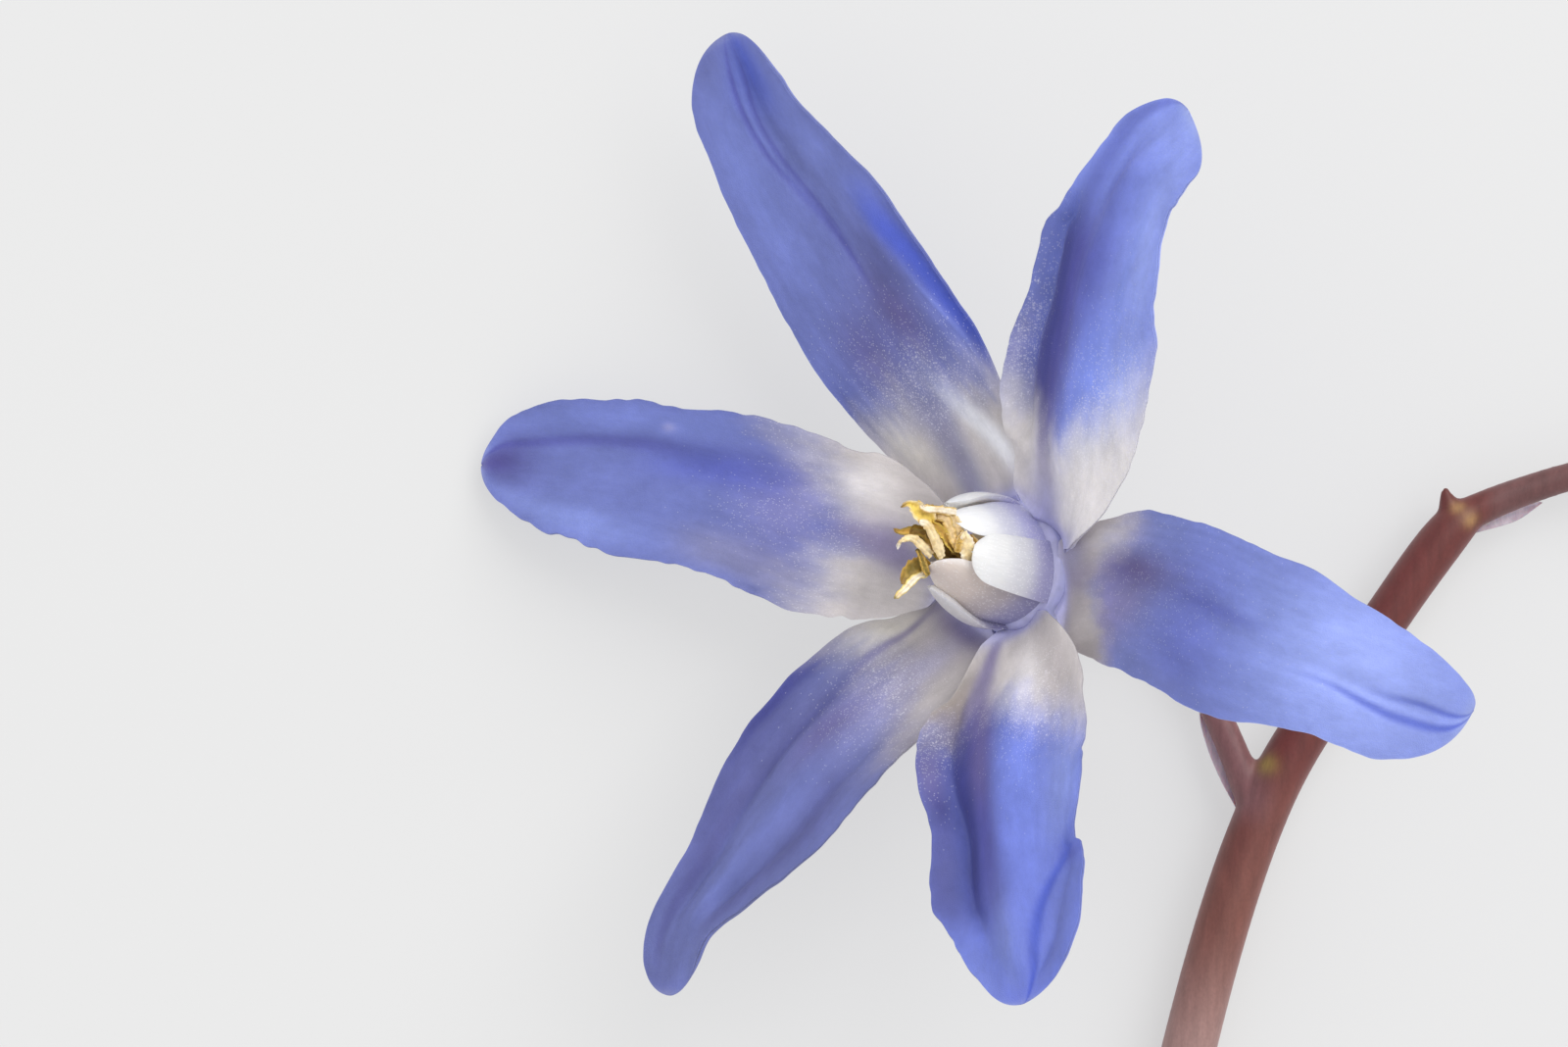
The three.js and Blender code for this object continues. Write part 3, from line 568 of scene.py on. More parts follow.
ANTHERS = [
    {"name": "anther_right", "node": "anther_1", "strips": [
        strip([(1.0, 0.85, 3.72), (1.08, 0.57, 3.62), (1.1, 0.35, 3.5), (1.08, 0.13, 3.37),
               (0.95, -0.13, 3.1)],
              [0.1, 0.23, 0.27, 0.25, 0.14], -0.08, DEEP_CREAM, PALE_CREAM, TAN),
        strip([(0.95, 0.85, 3.64), (0.95, 0.6, 3.79), (0.92, 0.42, 3.81), (0.88, 0.2, 3.76)],
              [0.05, 0.12, 0.13, 0.08], 0.06, GOLD, TAN, GOLD),
        strip([(1.0, 0.73, 3.41), (1.05, 0.6, 3.25), (1.05, 0.43, 3.16), (1.02, 0.23, 3.17),
               (0.95, 0.0, 3.12)],
              [0.06, 0.1, 0.1, 0.1, 0.08], 0.05, GOLD, TAN, GOLD),
    ]},
    {"name": "anther_upper_right", "node": "anther_2", "strips": [
        strip([(0.85, 1.38, 4.0), (0.82, 1.38, 4.4), (0.8, 1.38, 4.73), (0.72, 1.35, 5.1),
               (0.62, 1.37, 5.3), (0.55, 1.47, 5.38), (0.5, 1.56, 5.48)],
              [0.13, 0.13, 0.12, 0.12, 0.1, 0.07, 0.03], -0.07, PALE_CREAM, GOLD, YELLOW),
        strip([(0.6, 1.0, 4.75), (0.55, 1.13, 4.92), (0.5, 1.19, 5.2), (0.45, 1.28, 5.44),
               (0.38, 1.4, 5.57), (0.3, 1.41, 5.71), (0.2, 1.29, 5.86)],
              [0.1, 0.2, 0.27, 0.24, 0.16, 0.08, 0.03], 0.1, YELLOW, DEEP_CREAM, BROWN),
        strip([(0.65, 1.17, 4.63), (0.72, 1.14, 4.33), (0.78, 0.93, 4.17), (0.82, 0.69, 4.02),
               (0.88, 0.47, 3.91), (0.9, 0.28, 3.75)],
              [0.1, 0.15, 0.16, 0.15, 0.13, 0.08], -0.05, TAN, GOLD, GOLD),
    ]},
    {"name": "anther_upper_left", "node": "anther_3", "strips": [
        strip([(0.35, 1.38, 4.95), (0.42, 1.2, 4.5), (0.48, 0.85, 3.9), (0.52, 0.4, 3.4), (0.55, 0.1, 3.0)],
              [0.12, 0.26, 0.3, 0.28, 0.15], 0.1, GOLD, GOLD, GOLD),
        strip([(0.75, 1.3, 4.1), (0.8, 1.08, 3.88), (0.84, 0.75, 3.66), (0.84, 0.44, 3.5)],
              [0.08, 0.16, 0.16, 0.08], -0.05, TAN, DEEP_CREAM, GOLD),
        strip([(0.55, 0.97, 4.8), (0.6, 0.78, 4.38), (0.65, 0.57, 4.11), (0.7, 0.37, 3.84),
               (0.75, 0.21, 3.63)],
              [0.06, 0.13, 0.14, 0.13, 0.08], 0.1, GOLD, YELLOW, BROWN),
    ]},
    {"name": "anther_left", "node": "anther_4", "strips": [
        strip([(0.3, 0.62, 5.3), (0.3, 0.5, 4.8), (0.36, 0.35, 4.2), (0.4, 0.15, 3.5), (0.42, -0.1, 2.8)],
              [0.1, 0.26, 0.32, 0.34, 0.2], 0.1, BROWN, OLIVE, GOLD),
        strip([(0.8, 0.0, 4.25), (0.8, 0.15, 4.4), (0.8, 0.32, 4.53), (0.78, 0.53, 4.75),
               (0.74, 0.74, 4.93), (0.68, 0.92, 5.14), (0.6, 0.94, 5.4)],
              [0.12, 0.16, 0.18, 0.17, 0.15, 0.13, 0.09], -0.1, DEEP_CREAM, TAN, PALE_CREAM),
        strip([(0.4, 0.19, 4.47), (0.35, 0.42, 4.5), (0.32, 0.66, 4.71), (0.25, 0.68, 5.05),
               (0.15, 0.61, 5.38), (0.08, 0.58, 5.66), (0.0, 0.64, 5.81)],
              [0.15, 0.2, 0.22, 0.17, 0.12, 0.07, 0.03], 0.08, GOLD, OLIVE, BROWN),
    ]},
    {"name": "anther_lower_left", "node": "anther_5", "strips": [
        strip([(0.1, -0.48, 4.02), (0.05, -0.3, 4.33), (-0.05, -0.42, 4.56), (-0.1, -0.65, 4.77),
               (-0.1, -0.95, 4.92)],
              [0.16, 0.24, 0.27, 0.22, 0.1], 0.08, OLIVE, GOLD, BROWN),
        strip([(0.2, -0.56, 4.13), (0.15, -0.62, 4.43), (0.1, -0.83, 4.7), (0.0, -1.05, 4.81),
               (-0.05, -1.28, 5.07), (-0.1, -1.4, 5.19)],
              [0.1, 0.12, 0.13, 0.12, 0.09, 0.03], -0.05, PALE_CREAM, YELLOW, OLIVE),
        strip([(0.32, 0.12, 4.9), (0.3, -0.15, 4.65), (0.28, -0.42, 4.4), (0.25, -0.6, 4.15)],
              [0.05, 0.09, 0.1, 0.06], 0.04, OLIVE, GOLD, OLIVE),
    ]},
    {"name": "anther_lower_right", "node": "anther_6", "strips": [
        strip([(0.52, 0.03, 4.44), (0.5, 0.2, 4.79), (0.45, 0.37, 5.14), (0.38, 0.43, 5.44),
               (0.28, 0.34, 5.63), (0.18, 0.21, 5.66), (0.12, 0.05, 5.64)],
              [0.13, 0.15, 0.14, 0.11, 0.07, 0.04, 0.02], -0.06, DEEP_CREAM, TAN, "#fbf3e4"),
    ]},
]
ANTHER_GRID = (44, 14)
ANTHER_FACE = np.array([0.9, 0.0, 0.44])
ANTHER_LENGTH = 2
ANTHER_THICKNESS = 0.07
ANTHER_TIP = 0.85
ANTHER_EDGE_FROM = (0.35, 1.0)
ANTHER_END_FROM = (0.75, 0.98)

# The anthers' nibbled edges, wrinkles and wandering furrows, each with its noise's cells.
ANTHER_RAGGED = 0.16
ANTHER_RAGGED_CELL = (1, 0.09)
ANTHER_EDGES_APART = 5
WRINKLE = 0.02
WRINKLE_CELL = (0.07, 0.12)
# How far the wrinkles lighten and darken an anther's tint, as painted light and shade.
WRINKLE_LIGHT = 0.15
FURROW = 0.035
FURROW_WIDTH = 0.22
FURROW_WANDER = 0.15
FURROW_CELL = (1, 0.3)
# How far painted shade darkens an anther's furrow.
FURROW_SHADE = 0.12

# The stem's points are from the throat, and its radii follow them. rings and sides are how finely
# each branch is cut before all are grown together.
SCAPE = {
    "points": [(3.4, -58, -4.2), (3.1, -46, -4.1), (3.2, -34, -3.9), (3.9, -24, -3.8),
               (5.6, -14.7, -3.8), (8.05, -7.0, -3.8), (11.4, -1.9, -3.8), (13.5, 1.0, -3.8),
               (14.6, 1.85, -3.8)],
    "radius": [0.88, 0.88, 0.87, 0.86, 0.84, 0.8, 0.72, 0.7, 0.4],
    "rings": 160,
    "sides": 28,
}
PEDICEL = {
    "points": [(2.1, -0.3, -2.6), (4.2, -1.35, -3.9), (5.8, -3.3, -4.1), (6.75, -5.2, -3.9),
               (7.6, -7.4, -3.8)],
    "radius": [0.66, 0.5, 0.45, 0.46, 0.5],
    "rings": 60,
    "sides": 24,
}
BUD_PEDICEL = {
    "points": [(13.7, 1.4, -3.8), (15.6, 2.2, -3.8), (18.0, 2.9, -3.7), (20.6, 3.1, -3.5),
               (22.8, 2.7, -3.3)],
    "radius": [0.54, 0.47, 0.43, 0.44, 0.55],
    "rings": 60,
    "sides": 24,
}
THORN = {
    "points": [(13.7, 1.3, -3.8), (13.5, 1.9, -3.7), (13.35, 2.45, -3.6)],
    "radius": [0.5, 0.32, 0.06],
    "rings": 24,
    "sides": 20,
}
STEM_VOXEL = 0.11
STEM_SMOOTHING = 6

# The stem's colour changes upwards, between two heights each time. The pedicels have tints of their
# own, from heights and from places to the left and right. The spots lie where the stem branches.
STEM_LOW = "#977974"
STEM_SHADES = [(-16.0, -10.5, "#73453c"), (-10.5, -8.0, "#6c3c35"), (-8.0, -5.5, "#612c28")]
PEDICEL_TINT = "#764f50"
PEDICEL_ABOVE = (-8.2, -7.0)
PEDICEL_LEFT_OF = (7.4, 8.4)
BUD_PEDICEL_TINT = "#63403f"
BUD_PEDICEL_RIGHT_OF = (14.3, 15.2)
STEM_SPOTS = [
    ((8.05, -6.1, -3.4), 0.3, "#a8943e", 0.9),
    ((13.75, 1.8, -3.3), 0.22, "#b08c58", 0.6),
    ((14.15, 1.4, -3.2), 0.25, "#b08c58", 0.6),
]

# The bud's tepals wind round it by the twist, in radians. Its grain is stretched round and along.
BUD = {
    "points": [(23.2, 2.6, -3.3), (25.6, 1.9, -3.24), (28.0, 0.9, -3.2), (30.4, -0.4, -3.2)],
    "radius": [0.75, 1.7, 1.75, 0.35],
    "rings": 90,
    "sides": 96,
}
BUD_TEPALS = 6
BUD_TWIST = 0.9
BUD_SEAM = 0.16
BUD_GRAIN = (1.6, 8)
BUD_VIOLET = "#6a74c0"
BUD_RIB = "#48529f"
BUD_RIB_AMOUNT = 0.55
BUD_RIB_FROM = (0.75, 1.0)
BUD_GREEN = "#8f9a86"
BUD_GREEN_ENDS = (0.02, 0.3)

BRACTS = [
    {"name": "bract_at_lower_fork", "node": "bract_lower",
     "points": [(7.4, -7.6, -4.0), (6.9, -6.6, -4.05), (6.48, -5.7, -4.1), (6.16, -4.9, -4.15),
                (5.96, -4.3, -4.2)],
     "half": [0.2, 0.26, 0.24, 0.16, 0.05]},
    {"name": "bract_at_upper_fork", "node": "bract_upper",
     "points": [(13.9, 1.14, -4.0), (14.7, 1.47, -4.05), (15.5, 1.68, -4.1), (16.4, 1.93, -4.15)],
     "half": [0.25, 0.36, 0.32, 0.06]},
]
BRACT_GRID = (24, 12)
BRACT_THICKNESS = 0.12
BRACT_HOLLOW = 0.12
BRACT_TIP = 0.7
BRACT_TINTS = ("#d2ccd6", "#bdb4c2")

# The tube and the pistil are turned on the flower's axis, from radii and heights. The tube's inside
# and its lip are where a point lies within a radius and above a height.
PROFILE_STEPS = 4
TUBE_SIDES = 64
TUBE_PROFILE = [
    (0, -3.7), (0.75, -3.7), (1.2, -3.3), (1.6, -2.7), (1.92, -1.9), (2.08, -1.2), (2.13, -0.6),
    (2.11, -0.35), (2.04, -0.12), (1.93, 0.06), (1.8, 0.18), (1.6, 0.25), (1.2, 0.25), (0, 0.25),
]
TUBE_HOLLOW_WITHIN = 1.6
TUBE_HOLLOW_ABOVE = -1
TUBE_LIP_WITHIN = 1.95
TUBE_LIP_ABOVE = 0
TUBE_RIM_ABOVE = -0.55
PISTIL_SIDES = 40
# The pistil is a pale gold like the anthers', lightened as painted light in the gap among them.
PISTIL_TINT = "#d6ba78"
PISTIL_PROFILE = [
    (0, 0.1), (0.3, 0.1), (0.5, 0.5), (0.45, 1.1), (0.2, 1.6), (0.16, 2.4), (0.22, 2.6), (0, 2.7),
]

# The petals' clouds, mottles, streaks and fine streaks: a noise's cells to a millimetre across and
# along, its detail and roughness, and how dark and how light it makes the tint.
PETAL_NOISES = [
    ((1.1, 0.55, 1.0), 4.0, 0.55, 0.89, 1.11),
    ((3.2, 1.6, 2.0), 4.0, 0.65, 0.95, 1.05),
    ((6.0, 0.5, 1.0), 2.0, 0.55, 0.975, 1.025),
    ((16.0, 6.0, 1.0), 2.0, 0.55, 0.975, 1.025),
]
# The white of the painted glints: highlights painted on the skin's cells.
PETAL_GLINT = "#f2f0f6"
FILAMENT_GLINT = (0.97, 0.97, 0.97)

# Most of a noise lies in this range, and a skin cell's dot fades between these distances.
NOISE_RANGE = (0.3, 0.7)
DOT_EDGE = (0.15, 0.5)


def linear(colour):
    """An sRGB hex colour as linear red, green and blue."""
    parts = np.array([int(colour[i:i + 2], 16) / 255 for i in (1, 3, 5)])
    return np.where(parts <= 0.04045, parts / 12.92, ((parts + 0.055) / 1.055) ** 2.4)


def smooth(low, high, value):
    """Rises softly from 0 at low to 1 at high."""
    share = np.clip((value - low) / (high - low), 0, 1)
    return share * share * (3 - 2 * share)


def bell(distance, width):
    return np.exp(-((distance / width) ** 2))


def along(stations, u):
    """A smooth value at each u, from 0 to 1, through a list of even stations."""
    values = np.asarray(stations, float)
    last = len(values) - 1
    position = np.clip(u, 0, 1) * last
    i = np.minimum(np.floor(position).astype(int), last - 1)
    f = position - i
    padded = np.concatenate([[2 * values[0] - values[1]], values, [2 * values[-1] - values[-2]]])
    before, a, b, after = padded[i], padded[i + 1], padded[i + 2], padded[i + 3]
    if values.ndim > 1:
        f = f[..., None]
    return 0.5 * (2 * a + (b - before) * f + (2 * before - 5 * a + 4 * b - after) * f ** 2
                  + (3 * a - before - 3 * b + after) * f ** 3)


def unit(vectors):
    return vectors / np.maximum(np.linalg.norm(vectors, axis=-1, keepdims=True), 1e-12)


def directions(points, u):
    """The way that a path runs at each u."""
    step = 0.01
    return unit(along(points, np.minimum(u + step, 1)) - along(points, np.maximum(u - step, 0)))


def in_flower(points):
    """Points in the flower's frame, moved to where they lie."""
    return THROAT + np.asarray(points) @ FLOWER


def in_sprig(points):
    """Points that are measured from the throat, moved to where they lie."""
    return THROAT + np.asarray(points)


def set_tint(mesh, colours):
    """Gives each point of a mesh its colour."""
    full = np.concatenate([colours, np.ones((len(colours), 1))], axis=1)
    data = mesh.attributes.new("tint", "FLOAT_COLOR", "POINT").data
    data.foreach_set("color", full.astype(np.float32).ravel())


def make_mesh(name, points, faces, tint=None, **values):
    """A smooth mesh from points in millimetres, with a tint and other values at each point."""
    mesh = bpy.data.meshes.new(name)
    mesh.from_pydata((np.asarray(points) * MM).tolist(), [], [list(map(int, face)) for face in faces])
    mesh.shade_smooth()
    if tint is not None:
        set_tint(mesh, tint)
    for key, value in values.items():
        kind, field = ("FLOAT_VECTOR", "vector") if value.ndim > 1 else ("FLOAT", "value")
        data = mesh.attributes.new(key, kind, "POINT").data
        data.foreach_set(field, value.astype(np.float32).ravel())
    mesh.validate()
    mesh.update()
    thing = bpy.data.objects.new(name, mesh)
    bpy.context.scene.collection.objects.link(thing)
    return thing


def place(thing, node, material):
    """Dresses a piece, lets it stand for its frame node and ride with the frame."""
    thing.data.materials.append(material)
    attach(thing, "root")
    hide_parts(node)


def blade_frame(points, face, roll, u):
    """The spine, and the directions across a blade and out of its face, at each u."""
    spine = along(points, u)
    tangent = directions(points, u)
    side = unit(np.cross(face, tangent))
    side = side * math.cos(roll) + np.cross(tangent, side) * math.sin(roll)
    return spine, side, np.cross(tangent, side)


def surface_normals(front):
    lengthwise = np.gradient(front, axis=0)
    crosswise = np.gradient(front, axis=1)
    return unit(np.cross(lengthwise, crosswise))


def two_faces(front, thickness):
    """The points of a blade's front and back, the back set in by the thickness."""
    back = front - surface_normals(front) * thickness[..., None]
    return np.concatenate([front.reshape(-1, 3), back.reshape(-1, 3)])


def two_face_list(rows, columns):
    """The faces of a blade's front and back, and of the rim that joins them."""
    width = columns + 1
    size = (rows + 1) * width
    i, j = np.meshgrid(np.arange(rows), np.arange(columns), indexing="ij")
    a = (i * width + j).ravel()
    front = np.stack([a, a + width, a + width + 1, a + 1], axis=1)
    edge = list(range(columns)) + [k * width + columns for k in range(rows)]
    edge += [rows * width + k for k in range(columns, 0, -1)] + [k * width for k in range(rows, 0, -1)]
    rim = [(a + size, b + size, b, a) for a, b in zip(edge, edge[1:] + edge[:1])]
    return np.concatenate([front, front[:, ::-1] + size, rim])


def twice(values):
    """The values of a grid as one list, for a blade's front and again for its back."""
    return np.concatenate([values.reshape(-1, *values.shape[2:])] * 2)


def soft_noise(random, across, length, cell):
    """Smooth random values from -1 to 1 over a sheet. cell is the size of a blotch."""
    lattice = random.uniform(-1, 1, (LATTICE, LATTICE))
    x, y = across / cell[0] + (LATTICE // 2 - 1), length / cell[1] + 1
    i, j = np.floor(x).astype(int), np.floor(y).astype(int)
    fx, fy = smooth(0, 1, x - i), smooth(0, 1, y - j)
    i, j, next_i, next_j = i % LATTICE, j % LATTICE, (i + 1) % LATTICE, (j + 1) % LATTICE
    low = lattice[i, j] * (1 - fx) + lattice[next_i, j] * fx
    high = lattice[i, next_j] * (1 - fx) + lattice[next_i, next_j] * fx
    return low * (1 - fy) + high * fy


def double_noise(random, across, length, cells):
    """A coarse noise with a finer and weaker one on it."""
    coarse = soft_noise(random, across, length, cells[0])
    return coarse + FINER_SHARE * soft_noise(random, across, length, cells[1])


def spot_share(at, size, u, v):
    """How much a round mark counts at each place of a petal, from 0 to 1."""
    return np.exp(-((u - at[0]) / size[0]) ** 2 - ((v - at[1]) / size[1]) ** 2)


def band_share(mark, u, v):
    """The same for a band, whose bends are rounded and whose free ends fade."""
    us, vs = zip(*mark["path"])
    centre = sum(np.interp(u + shift, us, vs) for shift in BEND_ROUNDING) / len(BEND_ROUNDING)
    wide = np.interp(u, (us[0], us[-1]), mark["wide"])
    share = np.exp(-np.abs((v - centre) / wide) ** BAND_FLATNESS)
    if us[0] > 0:
        share = share * smooth(us[0] - BAND_FADE, us[0] + BAND_FADE, u)
    if us[-1] < 1:
        share = share * (1 - smooth(us[-1] - BAND_FADE, us[-1] + BAND_FADE, u))
    return share


def mark_share(mark, u, v):
    """The same for either kind of mark."""
    return spot_share(mark["at"], mark["size"], u, v) if "at" in mark else band_share(mark, u, v)


def fold_shape(wide, sharp, distance):
    """A fold's height across it: a soft bell, or a narrow crease with even sides."""
    if sharp:
        return np.exp(-(np.sqrt(distance ** 2 + CREASE_BOTTOM ** 2) - CREASE_BOTTOM) / wide)
    return bell(distance, wide)


def fold_lift(at, wide, deep, span, sharp, fade, u, v):
    """How far one fold stands above a petal's face, or below it, at each place."""
    start, end = span
    share = np.clip((u - start) / (end - start), 0, 1)
    centre = at[0] + (at[1] - at[0]) * share
    present = smooth(start, start + FOLD_FADE_IN, u) * (1 - smooth(end - fade, end, u))
    return deep * present * fold_shape(wide, sharp, v - centre)


def petal_relief(petal, u, v, half):
    """How far a petal's face stands above its spine, with its channel, folds, bands and veins."""
    depth = smooth(*CHANNEL_DEEPENS, u) * (1 - CHANNEL_LOSS * smooth(*CHANNEL_GIVES_WAY, u))
    lift = (petal["channel"] * depth + CLAW_HOLLOW * (1 - smooth(*CLAW_HOLLOW_ENDS, u))) * v * v
    for crease in petal["folds"]:
        lift = lift + fold_lift(u=u, v=v, **crease)
    narrow = np.clip(half / FULL_RELIEF_HALF, 0, 1)
    for mark in petal["marks"]:
        if mark.get("deep"):
            lift = lift + mark["deep"] * narrow * mark_share(mark, u, v)
    across = v + VEIN_SPREAD * v * v + VEIN_WANDER * np.sin(VEIN_BENDS * u)
    veins = VEIN_HEIGHT * np.cos(math.pi * VEINS * across)
    veins = veins * smooth(*VEINS_BEGIN, u) * (1 - smooth(*VEINS_END, u))
    return (lift + veins * narrow) * (1 - TIP_FLATNESS * smooth(*TIP_FLATTENS, u))


def plain(tint, u):
    """One tint at each place of a grid."""
    return np.broadcast_to(linear(tint), u.shape + (3,))


def mixed(colour, tint, amount):
    return colour + (linear(tint) - colour) * np.clip(amount, 0, 1)[..., None]


def marked(tint, marks, u, v):
    """A tint with marks on it, at each place of a petal."""
    colour = plain(tint, u)
    for mark in marks:
        colour = mixed(colour, mark["tint"], mark["amount"] * mark_share(mark, u, v))
    return colour


def petal_tint(petal, u, v, ragged):
    """The petal's colour at each place, and how much of it is the foot's."""
    blade = marked(petal["colour"], petal["marks"], u, v)
    foot = marked(petal["foot"], petal["foot_marks"], u, v)
    foot = mixed(foot, THROAT_TINT, 1 - smooth(*THROAT_TINT_ENDS, u))
    reach = np.interp(v, [-1, 0, 1], petal["reach"])
    share = 1 - smooth(FOOT_BORDER[0] * reach, FOOT_BORDER[1] * reach, u + FOOT_RAGGEDNESS * ragged)
    return blade + (foot - blade) * share[..., None], share


def claw_path(points, steps):
    """Points from the tube's inside to a petal's first station, as a smooth bend."""
    start, ahead = points[0], unit(points[1] - points[0])
    outward = unit(np.array([start[0], start[1], 0.0]))
    end = outward * CLAW_END[0] + np.array([0, 0, CLAW_END[1]])
    middle = start - ahead * CLAW_BEND * np.linalg.norm(start - end)
    t = np.linspace(1, 0, steps + 1)[:-1, None]
    return (1 - t) ** 2 * start + 2 * t * (1 - t) * middle + t ** 2 * end


def corner_bulge(corner, u):
    """How far a flap's corner stands out: it swells slowly on one side and falls back at once."""
    away = (corner["at"] - u) / corner["long"]
    swell = np.exp(-np.maximum(away, 0))
    fall = 1 - smooth(0, corner["fall"], -away * abs(corner["long"]))
    return corner["out"] * np.where(away > 0, swell, fall)


def petal_half(petal, random, u, v, length):
    """A petal's half width at each place, with its corners, waves, claw and rounded tip."""
    half = np.where(v > 0, along(petal["left"], u), along(petal["right"], u))
    for corner in petal.get("corners", []):
        half = half + np.where(np.sign(v) == corner["side"], corner_bulge(corner, u), 0)
    half = half + (CLAW_HALF - half) * smooth(0, CLAW_NARROWS, u)
    waves = double_noise(random, np.sign(v) * PETAL_EDGES_APART, length, EDGE_WAVES)
    ruffle = petal["ruffle"] * waves * smooth(*RUFFLE_BEGINS, u) * abs(v)
    tip = np.maximum((u - TIP_START) / (1 - TIP_START), 0)
    rounding = BLUNT_END + (1 - BLUNT_END) * np.sqrt(np.maximum(1 - tip ** 2, 0))
    return np.maximum((half + ruffle) * rounding, THINNEST_HALF)


def petal_grid(petal, random):
    """A petal's front as a grid of points, with each one's shares, half width and way along."""
    angle = math.radians(petal["turn"])
    out, sway = np.array(petal["out"]), np.array(petal["sway"])
    points = np.stack([out * math.cos(angle) - sway * math.sin(angle),
                       out * math.sin(angle) + sway * math.cos(angle), petal["up"]], axis=1)
    rows = 1 - (1 - np.linspace(0, 1, PETAL_ROWS + 1)) ** ROW_CROWDING
    columns = np.sin(np.linspace(-1, 1, PETAL_COLUMNS + 1) * math.pi / 2 * COLUMN_CROWDING)
    columns = columns / math.sin(math.pi / 2 * COLUMN_CROWDING)
    roll = math.radians(petal.get("roll", 0))
    spine, side, normal = blade_frame(points, np.array([0, 0, 1.0]), roll, rows)
    spine = np.concatenate([claw_path(points, CLAW_ROWS), spine])
    side = np.concatenate([np.repeat(side[:1], CLAW_ROWS, axis=0), side])
    normal = np.concatenate([np.repeat(normal[:1], CLAW_ROWS, axis=0), normal])
    claw = np.linspace(CLAW_START, 0, CLAW_ROWS + 1)[:-1]
    u, v = np.meshgrid(np.concatenate([claw, rows]), columns, indexing="ij")
    length = np.cumsum(np.linalg.norm(np.diff(spine, axis=0, prepend=spine[:1]), axis=1))
    length = np.broadcast_to(length[:, None], u.shape)
    half = petal_half(petal, random, u, v, length)
    front = spine[:, None, :] + side[:, None, :] * (v * half)[..., None]
    front = front + normal[:, None, :] * petal_relief(petal, u, v, half)[..., None]
    return u, v, half, length, front


def make_petal(petal, material, random):
    u, v, half, length, front = petal_grid(petal, random)
    edge = np.sqrt(np.maximum(1 - abs(v) ** PETAL_EDGE_FLATNESS, 0))
    ending = 1 - TIP_THINNING * smooth(*TIP_THINS, u)
    thickness = PETAL_THICKNESS * (PETAL_EDGE + (1 - PETAL_EDGE) * edge) * ending
    across = v * half
    ragged = double_noise(random, across, length, FOOT_BLOTCHES)
    tint, foot = petal_tint(petal, u, v, ragged)
    # Painted glints of highlight: where the list puts them, and along the border of the foot.
    frost = sum(amount * spot_share(at, size, u, v) for at, size, amount in petal["frost"])
    frost = np.clip(frost + GLINTS_AT_FOOT_BORDER * foot * (1 - foot) * 4, 0, 1)
    grain = np.stack([across + petal["turn"], length, np.zeros(v.shape)], axis=-1)
    faces = two_face_list(front.shape[0] - 1, front.shape[1] - 1)
    thing = make_mesh(petal["name"], in_flower(two_faces(front, thickness)), faces,
                      tint=twice(tint), frost=twice(frost), grain=twice(grain))
    place(thing, petal["node"], material)


def strip_grid(points, half, face, thickness, grid, hollow, tip_start, ragged=None):
    """The front of a small blade with rounded ends: its shares, half widths, points and thickness.

    ragged is the source of random values for one whose edges are nibbled.
    """
    rows, columns = grid
    u = np.linspace(0, 1, rows + 1)
    v = np.sin(np.linspace(-1, 1, columns + 1) * math.pi / 2)
    u, v = np.meshgrid(u, v, indexing="ij")
    spine, side, normal = blade_frame(points, face, 0, u[:, 0])
    tip = np.maximum((u - tip_start) / (1 - tip_start), 0)
    width = np.maximum(along(half, u) * np.sqrt(np.maximum(1 - tip ** 2, 0)), THINNEST_STRIP)
    if ragged:
        sides = np.sign(v) * ANTHER_EDGES_APART
        nibbles = soft_noise(ragged, sides, u * ANTHER_LENGTH, ANTHER_RAGGED_CELL)
        width = width * (1 + ANTHER_RAGGED * nibbles)
    front = spine[:, None, :] + side[:, None, :] * (v * width)[..., None]
    relief = hollow * v * v * np.clip(width / (STRIP_FULL_HOLLOW * np.max(width)), 0, 1)
    front = front + normal[:, None, :] * relief[..., None]
    edge = np.sqrt(np.maximum(1 - v ** 2, 0))
    depth = thickness * np.maximum(edge, STRIP_EDGE) * (1 - STRIP_THINNING * smooth(*STRIP_THINS, u))
    return u, v, width, front, depth


def make_filament(filament, material):
    angle = math.radians(filament["facing"])
    face = np.array([math.cos(angle), math.sin(angle), 0.0])
    u, v, width, front, depth = strip_grid(filament["points"], filament["half"], face, FILAMENT_THICKNESS,
                                           FILAMENT_GRID, -FILAMENT_ROUNDING, FILAMENT_TIP)
    foot, middle, tip = filament["tints"]
    tint = mixed(plain(foot, u), middle, smooth(*FILAMENT_MIDDLE_FROM, u))
    tint = mixed(tint, tip, smooth(*FILAMENT_TIP_FROM, u))
    # A painted highlight along the pale edge on one side, towards the tip.
    if filament["rim"]:
        rim = (1 - smooth(*FILAMENT_RIM_ACROSS, v)) * smooth(*FILAMENT_RIM_ALONG, u)
        tint = mixed(tint, filament["rim"], rim)
    grain = np.stack([v * width + filament["facing"], u * FILAMENT_LENGTH, np.zeros(u.shape)], axis=-1)
    # Painted glints of highlight: many near the foot, fewer towards the tip.
    least, most = FILAMENT_GLINT_SHARE
    frost = least + (most - least) * (1 - smooth(*FILAMENT_GLINT_FADES, u))
    thing = make_mesh(filament["name"], in_flower(two_faces(front, depth)), two_face_list(*FILAMENT_GRID),
                      tint=twice(tint), frost=twice(frost), grain=twice(grain))
    place(thing, filament["node"], material)


